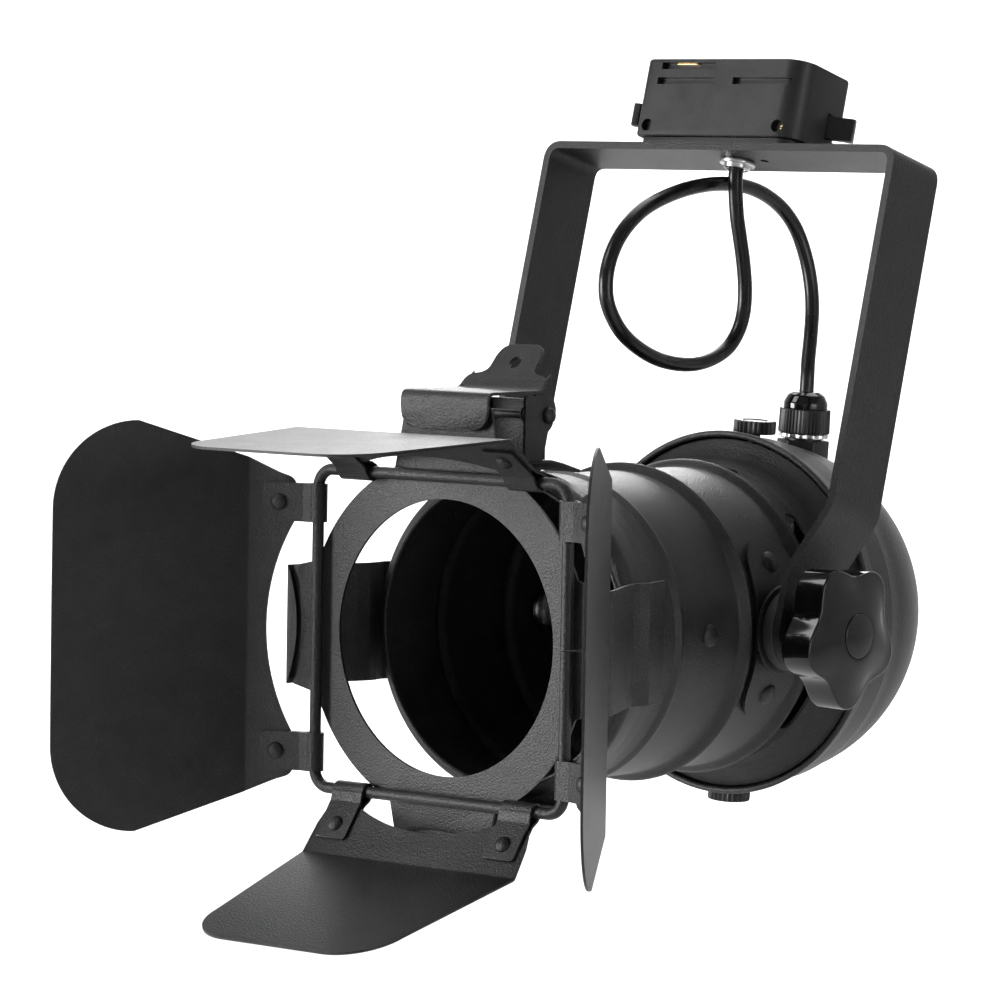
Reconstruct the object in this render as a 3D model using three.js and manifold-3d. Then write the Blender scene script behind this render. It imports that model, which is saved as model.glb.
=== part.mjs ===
// A small track-mounted spot lamp: a round can in a bent yoke, with four barn doors.
//
// Frame: millimetres, +Z up, the beam leaves the can along -Y. The origin is the middle of the
// track adapter's top face. Most pieces are drawn in the can's own frame, whose Y axis is the
// can's axis with Y = 0 on the front face of the ring plate; the yoke and the adapter are drawn in
// a frame that stands on the tilt pivot and leans back with the yoke.
import * as THREE from 'three';
import { mergeVertices } from 'three/addons/utils/BufferGeometryUtils.js';
import Module from 'manifold-3d';

const wasm = await Module();
wasm.setup();

// ---------------------------------------------------------------- driving dimensions
const GAP = 0.3; // clearance between neighbouring pieces
const ROUND = 48; // facets round the big turned pieces
const SMALL_ROUND = 20; // facets round screws, rivets and rods
const rad = THREE.MathUtils.degToRad;

const PIVOT_Y = 128; // tilt axis, behind the ring plate
const LEAN = rad(15); // the yoke leans back by this much
const YOKE_HALF = 85.5; // outside of the yoke's arms
const YOKE_TOP = 187.7; // top of the web, above the tilt axis
const YOKE_WIDTH = 31;
const YOKE_SHEET = 3;
const EAR_MID = 69.5; // middle of the sheet where the arm meets the pivot

const BASE_THICK = 2.2; // the adapter's recessed foot
const ADAPTER_TOP = 221.5;
const ADAPTER_X = -2.5;
const ADAPTER_HALF = 38.5;
const ADAPTER_DEPTH = 33;
const LEVER_HEIGHT = 200.5; // middle of the two locking levers

const BODY_R = 58.5;
const RIM_R = 62.3;
const NOSE_R = 57.7; // the can's front edge, rolled in
const NOSE_Y = 33.1;
const FLARE_R = 68.7; // the can's open back, just inside the cap's rim
const FLARE_END = 172;
const SHELL = 1.2;
const BEADS = [107.6, 147.2];
const BEAD_R = 61.6;
const VENT_Y = 157;
const VENTS = 6;

const CAP_RIM_R = 71.9;
const CAP_RIM_Y = 171.5;
const DOME_Y = 190;
const DOME_R = 67.6;
const DOME_DEPTH = 65.8;
const CAP_TWIST = rad(3.5); // the cap sits turned a little on the can
const THUMB_Y = 184.5;
const GLAND_Y = 218;

const RING_HOLE = 51.45;
const RING_R = 67;
const RING_SHEET = 1.2;
const TAB_END = 75.6;
const TOP_TAB_END = 86;

const ROD_R = 2.2;
const ROD_HALF = 60; // half of the wire square, on its centre line
const ROD_Y = -3.1;
const ROD_BEND = 7;

const LEAF_SHEET = 1;
const LEAF_FOLD = rad(38.5);
const LEAF_ROOT = 28; // rod centre to the fold
const LEAF_CUT_R = 79.5; // hollow edge that clears the clips
const STRAP_WIDTH = 14.5;
const STRAP_REACH = 21.5;
const STRAP_SHEET = 0.9;

const CLIP_WIDTH = 45.4;
const CLIP_SHEET = 1.2;

const LATCH_PIN_Y = 33;
const LATCH_PIN_Z = 82.4;
const LATCH_TOP = 91;

const KNOB_R = 28;
const KNOB_BACK = 79.8;
const KNOB_CROWN = 97.2;
const KNOB_LOBES = 5;
const KNOB_TURN = rad(50);
const STUD_R = 4;

const CORD_R = 2.9;
const SEAT_Y = 203; // back face of the lamp holder

const origin = new THREE.Vector3(
  ADAPTER_X,
  PIVOT_Y + ADAPTER_TOP * Math.sin(LEAN),
  ADAPTER_TOP * Math.cos(LEAN),
);

// ---------------------------------------------------------------- materials
const paint = (color, roughness, metalness) =>
  () => new THREE.MeshStandardMaterial({ color, roughness, metalness });
const blackPowder = paint(0x1b1b1c, 0.62, 0.2);
const glossPlastic = paint(0x0b0b0c, 0.16, 0);
const moulded = paint(0x1a1a1b, 0.5, 0);
const rubber = paint(0x101011, 0.42, 0);
const zinc = paint(0xb9babb, 0.3, 0.95);
const brass = paint(0xc9a86a, 0.35, 0.9);
const ceramic = paint(0xe6e2d8, 0.45, 0);

// ---------------------------------------------------------------- geometry helpers

/** A manifold solid from any closed three.js geometry, faces turned outward. */
function solid(geometry) {
  const bare = geometry.clone();
  for (const name of Object.keys(bare.attributes)) {
    if (name !== 'position') bare.deleteAttribute(name);
  }
  const merged = mergeVertices(bare, 1e-4);
  const at = merged.attributes.position;
  const index = Array.from(merged.index.array);
  const [a, b, c] = [0, 1, 2].map(() => new THREE.Vector3());
  const kept = [];
  let volume = 0;
  for (let i = 0; i < index.length; i += 3) {
    const [p, q, r] = index.slice(i, i + 3);
    if (p === q || q === r || r === p) continue;
    kept.push(p, q, r);
    volume += a.fromBufferAttribute(at, p).dot(
      b.fromBufferAttribute(at, q).cross(c.fromBufferAttribute(at, r)));
  }
  if (volume < 0) kept.reverse();
  return new wasm.Manifold(new wasm.Mesh({
    numProp: 3,
    vertProperties: new Float32Array(at.array),
    triVerts: new Uint32Array(kept),
  }));
}

/** A manifold solid moved by a three.js transform. */
function placed(shape, { at = [0, 0, 0], turn = [0, 0, 0] }) {
  const matrix = new THREE.Matrix4().compose(
    new THREE.Vector3(...at),
    new THREE.Quaternion().setFromEuler(new THREE.Euler(...turn)),
    new THREE.Vector3(1, 1, 1),
  );
  return shape.transform(matrix.elements);
}

/** A flat-shaded three.js geometry from a manifold solid. */
function geometryOf(shape) {
  const mesh = shape.getMesh();
  const geometry = new THREE.BufferGeometry();
  geometry.setAttribute('position', new THREE.BufferAttribute(mesh.vertProperties, 3));
  geometry.setIndex(new THREE.BufferAttribute(mesh.triVerts, 1));
  const flat = geometry.toNonIndexed();
  flat.computeVertexNormals();
  return flat;
}

/** A named mesh, hung on its group. */
function piece(group, name, shape, material) {
  const mesh = new THREE.Mesh(geometryOf(shape), material());
  mesh.name = name;
  group.add(mesh);
  return mesh;
}

const join = (first, ...others) => others.reduce((sum, next) => sum.add(next), first);
const cut = (first, ...others) => others.reduce((rest, next) => rest.subtract(next), first);

/** A solid of revolution about Y, from [radius, y] pairs that start and end on the axis. */
function turned(profile, facets = ROUND) {
  const points = profile.map(([r, y]) => new THREE.Vector2(r, y));
  return solid(new THREE.LatheGeometry(points, facets));
}

/** A hollow turned piece: the profile closes on itself. */
const turnedRing = (profile, facets = ROUND) => turned([...profile, profile[0]], facets);

/** A cylinder along Y between two heights. */
const rodY = (radius, from, to, facets = SMALL_ROUND) =>
  turned([[0, from], [radius, from], [radius, to], [0, to]], facets);

/** A cylinder along Z. */
const rodZ = (radius, from, to, facets = SMALL_ROUND) =>
  placed(rodY(radius, from, to, facets), { turn: [Math.PI / 2, 0, 0] });

/** A cylinder along X. */
const rodX = (radius, from, to, facets = SMALL_ROUND) =>
  placed(rodY(radius, from, to, facets), { turn: [0, 0, -Math.PI / 2] });

/** A closed outline, [x, y] pairs, pushed up along Z from a start height. */
function slab(outline, from, to, holes = []) {
  const shape = new THREE.Shape(outline.map(([x, y]) => new THREE.Vector2(x, y)));
  shape.holes = holes.map((hole) => new THREE.Path(hole.map(([x, y]) => new THREE.Vector2(x, y))));
  const geometry = new THREE.ExtrudeGeometry(shape, { depth: to - from, bevelEnabled: false });
  return placed(solid(geometry), { at: [0, 0, from] });
}

/** The same slab stood up: its outline is read as (y, z) and it runs along X. */
const slabX = (outline, from, to) =>
  placed(slab(outline, from, to), { turn: [Math.PI / 2, Math.PI / 2, 0] });

/** The same slab with its outline read as (x, z), running along Y. */
const slabY = (outline, from, to) =>
  placed(slab(outline, -to, -from), { turn: [Math.PI / 2, 0, 0] });

/** Points on an arc, both ends included. */
function arc(cx, cy, radius, from, to, steps) {
  return Array.from({ length: steps + 1 }, (_, i) => {
    const angle = from + ((to - from) * i) / steps;
    return [cx + radius * Math.cos(angle), cy + radius * Math.sin(angle)];
  });
}

/** An open path of [x, y] corners with each inner corner rounded to its radius. */
function rounded(corners, radii, steps = 4) {
  const path = [corners[0]];
  for (let i = 1; i < corners.length - 1; i += 1) {
    const here = new THREE.Vector2(...corners[i]);
    const back = new THREE.Vector2(...corners[i - 1]).sub(here).normalize();
    const on = new THREE.Vector2(...corners[i + 1]).sub(here).normalize();
    const half = Math.acos(THREE.MathUtils.clamp(back.dot(on), -1, 1)) / 2;
    const radius = Array.isArray(radii) ? radii[i - 1] : radii;
    const reach = radius / Math.tan(half);
    const start = here.clone().addScaledVector(back, reach);
    const end = here.clone().addScaledVector(on, reach);
    const curve = new THREE.QuadraticBezierCurve(start, here, end);
    path.push(...curve.getPoints(steps).map((p) => [p.x, p.y]));
  }
  path.push(corners[corners.length - 1]);
  return path;
}

/** The outline of bent sheet: a centre line made thick, with mitred bends. */
function sheetOutline(path, thick) {
  const points = path.map(([x, y]) => new THREE.Vector2(x, y));
  const normalOf = (a, b) => {
    const along = b.clone().sub(a).normalize();
    return new THREE.Vector2(-along.y, along.x);
  };
  const sides = [[], []];
  points.forEach((point, i) => {
    const before = i > 0 ? normalOf(points[i - 1], point) : null;
    const after = i < points.length - 1 ? normalOf(point, points[i + 1]) : null;
    const normal = (before ?? after).clone().add(after ?? before).normalize();
    const stretch = thick / 2 / normal.dot(before ?? after);
    sides[0].push([point.x + normal.x * stretch, point.y + normal.y * stretch]);
    sides[1].unshift([point.x - normal.x * stretch, point.y - normal.y * stretch]);
  });
  return [...sides[0], ...sides[1]];
}

/** A route whose steps follow its own points: long straights, close bends. */
class Route extends THREE.Curve {
  constructor(points) {
    super();
    this.points = points.map((p) => (p.isVector3 ? p : new THREE.Vector3(...p)));
  }

  getPoint(t) {
    const last = this.points.length - 1;
    const step = Math.min(Math.floor(t * last), last - 1);
    return this.points[step].clone().lerp(this.points[step + 1], t * last - step);
  }

  getPointAt(u) {
    return this.getPoint(u);
  }

  getTangentAt(u) {
    const last = this.points.length - 1;
    const here = Math.round(u * last);
    const ahead = this.points[Math.min(here + 1, last)];
    const behind = this.points[Math.max(here - 1, 0)];
    return ahead.clone().sub(behind).normalize();
  }
}

/** A round bar along a list of points. */
function wire(points, radius, facets) {
  const section = new THREE.Shape(
    arc(0, 0, radius, 0, 2 * Math.PI, facets).slice(0, -1).map(([x, y]) => new THREE.Vector2(x, y)));
  const route = new Route(points);
  return solid(new THREE.ExtrudeGeometry(section, { steps: points.length - 1, extrudePath: route }));
}

/** A rivet or screw dome that swells along +Z from its foot. */
function dome(radius, height, facets = 12) {
  const steps = 3;
  const crown = Array.from({ length: steps + 1 }, (_, i) => {
    const angle = (i / steps) * (Math.PI / 2);
    return [radius * Math.cos(angle), height * Math.sin(angle)];
  });
  crown[steps][0] = 0;
  return placed(turned([[0, -0.6], [radius, -0.6], ...crown], facets), { turn: [Math.PI / 2, 0, 0] });
}

// ---------------------------------------------------------------- the groups
const model = new THREE.Group();
const can = new THREE.Group();
can.position.copy(origin).negate();
const yokeFrame = new THREE.Group();
yokeFrame.position.set(0, PIVOT_Y, 0).sub(origin);
yokeFrame.rotation.x = -LEAN;
const capFrame = new THREE.Group();
capFrame.position.copy(can.position);
capFrame.rotation.y = CAP_TWIST;
model.add(can, yokeFrame, capFrame);

// ---------------------------------------------------------------- yoke
function yoke() {
  const half = YOKE_HALF - YOKE_SHEET / 2;
  const top = YOKE_TOP - YOKE_SHEET / 2;
  const arm = [[half, top], [half, 47], [EAR_MID, 20], [EAR_MID, -YOKE_WIDTH / 2 - 4]];
  const corners = [...[...arm].reverse().map(([x, z]) => [-x, z]), ...arm];
  const path = rounded(corners, [12, 14, 7, 7, 14, 12], 4);
  const strip = slabY(sheetOutline(path, YOKE_SHEET), -YOKE_WIDTH / 2, YOKE_WIDTH / 2);
  const halfWidth = YOKE_WIDTH / 2;
  const sideView = [
    ...arc(0, 0, halfWidth, Math.PI, 2 * Math.PI, 12),
    [halfWidth, YOKE_TOP + 5],
    [-halfWidth, YOKE_TOP + 5],
  ];
  const trimmed = strip.intersect(slabX(sideView, -YOKE_HALF - 5, YOKE_HALF + 5));
  return cut(
    trimmed,
    rodX(STUD_R + 2 * GAP, -YOKE_HALF, YOKE_HALF),
    rodZ(5.2, YOKE_TOP - 10, YOKE_TOP + 5),
    placed(rodZ(2.1, YOKE_TOP - 10, YOKE_TOP + 5), { at: [13, 0, 0] }),
  );
}
piece(yokeFrame, 'yoke', yoke(), blackPowder);

// ---------------------------------------------------------------- track adapter
const FOOT_TOP = YOKE_TOP + GAP + BASE_THICK;
const LEFT_ROTOR = ADAPTER_X - 17.5;
const RIGHT_ROTOR = ADAPTER_X + 19.5;
const ROTOR_R = 12.5;
const DISC_R = 13.7;
const FIRST_SLOT = 212.6; // middle of the slot both rotors share
const SECOND_SLOT = 218.7; // the left rotor's upper slot
const SLOT_HIGH = 2.8;
const WALL = 2.4;
const ROOF = 1; // the adapter's top is thinner than its sides

/** The adapter's plan: one big rounded corner, the others small. */
function adapterPlan(inset, end = 0) {
  const x = ADAPTER_HALF - inset;
  const y = ADAPTER_DEPTH / 2 - inset;
  const small = Math.max(2.5 - inset, 0.6);
  const big = Math.max(9 - inset, 1);
  const corner = (cx, cy, r, from, n) => arc(cx, cy, r, from, from + Math.PI / 2, n);
  return [
    ...corner(x - big - end, -y + big, big, -Math.PI / 2, 6),
    ...corner(x - small, y - small, small, 0, 3),
    ...corner(-x + small, y - small, small, Math.PI / 2, 3),
    ...corner(-x + small, -y + small, small, Math.PI, 3),
  ].map(([px, py]) => [px + ADAPTER_X, py]);
}

/** A pie slice about a rotor's axis, the room in which its lever swings. */
function leverRoom(x, from, to, radius, low, high) {
  const outline = [[x, 0], ...arc(x, 0, radius, from, to, 8)];
  return slab(outline, low, high);
}

function adapterHousing() {
  const shell = cut(
    slab(adapterPlan(0), FOOT_TOP + GAP, ADAPTER_TOP),
    slab(adapterPlan(WALL), FOOT_TOP - 5, ADAPTER_TOP - ROOF),
  );
  const y = -ADAPTER_DEPTH / 2;
  const slot = (x, z, reach) =>
    placed(slab([[-reach, y - 2], [reach, y - 2], [reach, y + 6], [-reach, y + 6]],
      -SLOT_HIGH / 2, SLOT_HIGH / 2), { at: [x, 0, z] });
  const screwHole = (x) => placed(rodY(2.4, y - 4, y + 12, 12), { at: [x, 0, 194.5] });
  return cut(
    shell,
    slot(LEFT_ROTOR, FIRST_SLOT, 14),
    slot(LEFT_ROTOR, SECOND_SLOT, 13),
    slot(RIGHT_ROTOR, FIRST_SLOT, 14),
    screwHole(ADAPTER_X - ADAPTER_HALF + 5.5),
    screwHole(ADAPTER_X + ADAPTER_HALF - 8),
    leverRoom(LEFT_ROTOR, rad(96), rad(208), 60, LEVER_HEIGHT - 5.2, LEVER_HEIGHT + 5.2),
    leverRoom(RIGHT_ROTOR, rad(14), rad(126), 60, LEVER_HEIGHT - 5.2, LEVER_HEIGHT + 5.2),
  );
}

function adapterFoot() {
  const inset = 2.7;
  return cut(
    slab(adapterPlan(inset), YOKE_TOP + GAP, FOOT_TOP),
    rodZ(5.2, YOKE_TOP - 5, FOOT_TOP + 5),
  );
}

/** A locking rotor: hub, one or two contact discs at the slots, and its lever. */
function rotor(x, leverTurn, slots) {
  const hub = rodZ(5, FOOT_TOP + GAP, Math.max(...slots) + 0.9, 16);
  const discs = slots.map((z) => placed(rodZ(DISC_R, -0.6, 0.6, 24), { at: [0, 0, z] }));
  const lever = placed(
    slab([[2, -1.6], [30, -1.6], [30, 2.4], [27, 2.4], [27, 1.6], [2, 1.6]],
      LEVER_HEIGHT - 4.5, LEVER_HEIGHT + 4.5),
    { turn: [0, 0, leverTurn] },
  );
  return placed(join(hub, lever, ...discs), { at: [x, 0, 0] });
}

/** A sprung brass contact that lies on a disc and looks out of its slot. */
const contact = (x, z) =>
  slab([[x - 6, -15.4], [x + 5, -15.4], [x + 5, -7], [x - 6, -7]], z + 0.9, z + 1.3);

piece(yokeFrame, 'adapter_housing', adapterHousing(), moulded);
piece(yokeFrame, 'adapter_foot', adapterFoot(), moulded);
piece(yokeFrame, 'contact_rotor', rotor(LEFT_ROTOR, rad(197), [FIRST_SLOT, SECOND_SLOT]), moulded);
piece(yokeFrame, 'lock_rotor', rotor(RIGHT_ROTOR, rad(24), [FIRST_SLOT]), moulded);
piece(yokeFrame, 'contact_upper', contact(LEFT_ROTOR - 1, SECOND_SLOT), brass);
for (const [name, x] of [
  ['adapter_screw_left', ADAPTER_X - ADAPTER_HALF + 5.5],
  ['adapter_screw_right', ADAPTER_X + ADAPTER_HALF - 8],
]) {
  const screw = rodY(2, -ADAPTER_DEPTH / 2 + 3.4, -ADAPTER_DEPTH / 2 + 9, 12);
  piece(yokeFrame, name, placed(screw, { at: [x, 0, 194.5] }), brass);
}

/** The threaded tube that clamps the adapter to the web and lets the cord out. */
function nipple() {
  const web = YOKE_TOP - YOKE_SHEET;
  return placed(turnedRing([
    [3.3, web - 3.6], [8.2, web - 3.6], [8.2, web - GAP], [4.7, web - GAP],
    [4.7, FOOT_TOP + GAP], [8, FOOT_TOP + GAP], [8, FOOT_TOP + 2.6], [3.3, FOOT_TOP + 2.6],
  ], 24), { turn: [Math.PI / 2, 0, 0] });
}
piece(yokeFrame, 'cord_nipple', nipple(), zinc);

// ---------------------------------------------------------------- can
/** The can's outline from the front rim to its flared open back, [radius, y]. */
function canProfile() {
  const bead = (y) => [
    [BODY_R, y - 4], [BEAD_R - 0.4, y - 1.3], [BEAD_R - 0.4, y + 1.3], [BODY_R, y + 4],
  ];
  return [
    [NOSE_R, NOSE_Y], [RIM_R - 1.6, 34.4], [RIM_R, 37.6], [RIM_R - 0.9, 43], [60.2, 48.5], [59.2, 56], [58.8, 63.5], [60.1, 66.4],
    [BODY_R, 69.5], ...bead(BEADS[0]), ...bead(BEADS[1]),
    [BODY_R, 160.5], [59.6, 163.6], [61.9, 166.8], [65, 169.6], [FLARE_R, FLARE_END],
  ];
}

/** The inside of the can: the beads are taken as solid, so the bore is plain. */
const boreProfile = [
  [NOSE_R - 0.4, NOSE_Y + 1.1], [59.9, 35.4], [RIM_R - SHELL, 38.2], [60.2 - SHELL, 48.5], [BODY_R - SHELL, 60], [BODY_R - SHELL, 160.8],
  [58.5, 164.2], [61, 167.6], [64.3, 170.5], [FLARE_R - 0.7, FLARE_END + 1],
];

/** A rounded slot cut square to the can's skin, centred on the given angle. */
function ventTool(angle) {
  const halfLong = BODY_R * Math.sin(rad(15)) - 3;
  const outline = [
    ...arc(halfLong, 0, 3, -Math.PI / 2, Math.PI / 2, 4),
    ...arc(-halfLong, 0, 3, Math.PI / 2, 1.5 * Math.PI, 4),
  ];
  const tool = placed(slab(outline, 45, 70), { at: [0, VENT_Y, 0] });
  return placed(tool, { turn: [0, angle, 0] });
}

function canShell() {
  const shell = turnedRing([...canProfile(), ...[...boreProfile].reverse()]);
  const vents = Array.from({ length: VENTS }, (_, i) => ventTool((i * 2 * Math.PI) / VENTS));
  const rivet = (side) => placed(dome(4.4, 1.7), {
    at: [side * (BODY_R - 0.1), 85.5, 0],
    turn: [0, (side * Math.PI) / 2, 0],
  });
  const studHole = rodX(STUD_R + GAP, -70, 70);
  return cut(
    join(shell, rivet(1), rivet(-1)),
    ...vents,
    placed(studHole, { at: [0, PIVOT_Y, 0] }),
  );
}
piece(can, 'can_shell', canShell(), blackPowder);

// ---------------------------------------------------------------- pivots and knobs
const PLATE_SKIN = BODY_R + GAP;
const PLATE_OUT = PLATE_SKIN + 1.5;
const WASHER_IN = 61;
const SPACER_IN = 62.7;
const EAR_IN = EAR_MID - YOKE_SHEET / 2;
const EAR_OUT = EAR_MID + YOKE_SHEET / 2;

/** The curved plate on the can's flank that carries the pivot stud. */
function pivotPlate() {
  const ring = turnedRing([
    [PLATE_SKIN, 110], [PLATE_OUT, 110], [PLATE_OUT, 150], [PLATE_SKIN, 150],
  ], 96);
  const halfWide = 14.2;
  const reach = 36.5;
  const outline = [
    ...arc(PIVOT_Y, reach - halfWide, halfWide, 0, Math.PI, 10),
    ...arc(PIVOT_Y, halfWide - reach, halfWide, Math.PI, 2 * Math.PI, 10),
  ];
  const plate = ring.intersect(slabX(outline, 30, 80));
  const rivets = [1, -1].map((side) => {
    const angle = side * rad(25);
    return placed(dome(4.3, 1.7), {
      at: [Math.cos(angle) * (PLATE_OUT - 0.3), PIVOT_Y, Math.sin(angle) * (PLATE_OUT - 0.3)],
      turn: [0, Math.PI / 2 - angle, 0],
    });
  });
  return cut(join(plate, ...rivets), placed(rodX(STUD_R + GAP, 50, 70), { at: [0, PIVOT_Y, 0] }));
}

const disc = (bore, radius, from, to) => placed(
  turnedRing([[bore, from], [radius, from], [radius, to], [bore, to]], 32),
  { turn: [0, 0, -Math.PI / 2] },
);

/** A round-headed stud from inside the can, out through the plate and the yoke. */
function stud() {
  const head = rodX(7, 52, 55.6);
  return join(head, rodX(STUD_R, 54, 91));
}

/** The lobed hand knob: a waved outline under a shallow crown, with a hub behind. */
function knob() {
  const waves = 50;
  const outline = Array.from({ length: waves }, (_, i) => {
    const angle = (i / waves) * 2 * Math.PI;
    const radius = KNOB_R - 2.7 + 2.7 * Math.cos(KNOB_LOBES * (angle - KNOB_TURN));
    return [radius * Math.cos(angle), radius * Math.sin(angle)];
  });
  const block = slabX(outline, KNOB_BACK, KNOB_CROWN);
  const crown = [];
  const crownR = 80;
  for (const r of [0, 10, 18, 24, 28.5]) {
    crown.push([r, KNOB_CROWN - crownR + Math.sqrt(crownR * crownR - r * r)]);
  }
  const bowl = placed(
    turned([[0, KNOB_BACK - 1], [29, KNOB_BACK - 1], ...crown.reverse()], 40),
    { turn: [0, 0, -Math.PI / 2] },
  );
  return cut(
    join(block.intersect(bowl), rodX(11, EAR_OUT + GAP + 0.4, KNOB_BACK + 1, 24)),
    rodX(STUD_R + GAP, 60, 92),
    rodX(8.9, 95.2, 110, 28),
  );
}

const mirror = (shape) => shape.mirror([1, 0, 0]);
for (const [side, flip] of [['right', (s) => s], ['left', mirror]]) {
  const atPivot = (shape) => placed(flip(shape), { at: [0, PIVOT_Y, 0] });
  piece(can, `pivot_plate_${side}`, flip(pivotPlate()), blackPowder);
  const washer = disc(4.5, 17.2, WASHER_IN, SPACER_IN - GAP);
  piece(can, `pivot_washer_${side}`, atPivot(washer), blackPowder);
  piece(can, `pivot_spacer_${side}`, atPivot(disc(4.5, 15.5, SPACER_IN, EAR_IN - GAP)), rubber);
  piece(can, `pivot_stud_${side}`, atPivot(stud()), zinc);
  piece(can, `tilt_knob_${side}`, atPivot(knob()), glossPlastic);
  piece(can, `knob_cap_${side}`, atPivot(rodX(8.6, 95.5, 97.6, 28)), glossPlastic);
}

// ---------------------------------------------------------------- rear cap
/** The cap's outline, front rim to the middle of the dome, [radius, y]. */
function capProfile(inset, steps) {
  const domeRow = (t) => [
    (DOME_R - inset) * Math.cos(t),
    DOME_Y + (DOME_DEPTH - inset) * Math.sin(t),
  ];
  const start = rad(8);
  const rows = Array.from({ length: steps }, (_, i) =>
    domeRow(start + ((Math.PI / 2 - start) * i) / steps));
  return [
    [CAP_RIM_R - inset, CAP_RIM_Y], [CAP_RIM_R - 1.6 - inset, 178], [DOME_R + 1.4 - inset, 190],
    ...rows, [0, DOME_Y + DOME_DEPTH - inset],
  ];
}

function rearCap() {
  const outer = capProfile(0, 7);
  const inner = capProfile(SHELL, 4).reverse();
  const shell = turned([...inner, ...outer].map(([r, y]) => [Math.max(r, 0), y]));
  const lip = turnedRing([
    [CAP_RIM_R - 2.6, CAP_RIM_Y - 1.2], [CAP_RIM_R - 0.4, CAP_RIM_Y - 1.2], [CAP_RIM_R, CAP_RIM_Y],
    [CAP_RIM_R - 0.2, CAP_RIM_Y + 1.6], [CAP_RIM_R - 2.6, CAP_RIM_Y + 1.6],
  ]);
  return cut(
    join(shell, lip),
    placed(rodZ(2.9, -80, 80), { at: [0, THUMB_Y, 0] }),
    placed(rodZ(7.9, 40, 90, 24), { at: [0, GLAND_Y, 0] }),
  );
}
piece(capFrame, 'rear_cap', rearCap(), blackPowder);

/** The strap inside: feet in the can, arms under the thumbscrews, seat for the lamp holder. */
function innerStrap() {
  const arm = [
    [55.3, 150], [55.3, 162.5], [59.4, 168.9], [66.1, 176.5], [66.1, 190], [56, SEAT_Y + 1],
  ];
  const corners = [...arm, ...[...arm].reverse().map(([z, y]) => [-z, y])];
  const path = rounded(corners.map(([z, y]) => [y, z]), [3, 3, 4, 5, 5, 5, 5, 4, 3, 3], 2);
  const strip = slabX(sheetOutline(path, 1.4), -9, 9);
  return cut(
    strip,
    placed(rodZ(2.9, -80, 80), { at: [0, THUMB_Y, 0] }),
    ...[1, -1].map((side) => placed(rodY(1.9, 195, 215, 12), { at: [0, 0, side * 11] })),
    placed(rodY(4, 195, 215, 16), { at: [0, 0, 0] }),
  );
}
piece(capFrame, 'inner_strap', innerStrap(), zinc);

/** A knurled thumbscrew along +Z. */
function thumbScrew() {
  const teeth = 26;
  const outline = Array.from({ length: 2 * teeth }, (_, i) => {
    const radius = i % 2 ? 7.9 : 8.5;
    const angle = (i / (2 * teeth)) * 2 * Math.PI;
    return [radius * Math.cos(angle), radius * Math.sin(angle)];
  });
  return join(slab(outline, 70.9, 76.2), rodZ(2.5, 61.5, 72, 14));
}
for (const [name, turn] of [['thumb_screw_top', 0], ['thumb_screw_bottom', Math.PI]]) {
  piece(capFrame, name, placed(thumbScrew(), { at: [0, THUMB_Y, 0], turn: [0, turn, 0] }), moulded);
}

// ---------------------------------------------------------------- cable gland
function glandBase() {
  const hex = arc(0, 0, 10.6, rad(30), rad(330), 5);
  const base = placed(slab(hex, 50, 67.4), { at: [0, GLAND_Y, 0] });
  const clearCap = turned([[0, CAP_RIM_Y], ...capProfile(-GAP, 7)]);
  return cut(
    join(base.subtract(clearCap), placed(rodZ(7.5, 48, 68.2, 20), { at: [0, GLAND_Y, 0] })),
    placed(rodZ(3.3, 40, 80), { at: [0, GLAND_Y, 0] }),
  );
}

function glandShell() {
  const ribs = 18;
  const outline = Array.from({ length: 2 * ribs }, (_, i) => {
    const radius = i % 2 ? 10 : 10.5;
    const angle = (i / (2 * ribs)) * 2 * Math.PI;
    return [radius * Math.cos(angle), radius * Math.sin(angle)];
  });
  return placed(cut(slab(outline, 70.2, 80), rodZ(3.3, 60, 90)), { at: [0, GLAND_Y, 0] });
}

const upright = (profile, facets) => placed(
  turnedRing(profile, facets),
  { at: [0, GLAND_Y, 0], turn: [Math.PI / 2, 0, 0] },
);
piece(capFrame, 'gland_base', glandBase(), moulded);
piece(capFrame, 'gland_ring', upright([[3.3, 68.5], [9.6, 68.5], [9.6, 69.9], [3.3, 69.9]], 24), zinc);
piece(capFrame, 'gland_shell', glandShell(), moulded);
piece(capFrame, 'gland_dome', upright([
  [3.3, 80.3], [8.9, 80.3], [8.9, 82], [7.9, 84.6], [5.8, 86.4], [3.3, 86.9],
], 24), glossPlastic);

// ---------------------------------------------------------------- lamp holder
piece(capFrame, 'lamp_holder', cut(
  turned([
    [0, SEAT_Y - 0.3], [20, SEAT_Y - 0.3], [20, 188], [22, 185], [22, 160], [14.6, 160],
    [14.6, 192], [0, 192],
  ], 36),
  ...[1, -1].map((side) => placed(rodY(1.9, 193, 215, 12), { at: [0, 0, side * 11] })),
), ceramic);
piece(capFrame, 'lamp_shell', turnedRing([
  [13.4, 163], [14.2, 163], [14.2, 190], [13.4, 190],
], 28), brass);
piece(capFrame, 'lamp_contact', join(rodY(3, 188.5, 189.6, 16), rodY(4.5, 189.4, 191.6, 16)), brass);
for (const [name, side] of [['holder_screw_top', 1], ['holder_screw_bottom', -1]]) {
  const screw = join(rodY(1.5, 194, 206, 12), rodY(3, SEAT_Y + 2.1, SEAT_Y + 4, 12));
  piece(capFrame, name, placed(screw, { at: [0, 0, side * 11] }), zinc);
}

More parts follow.
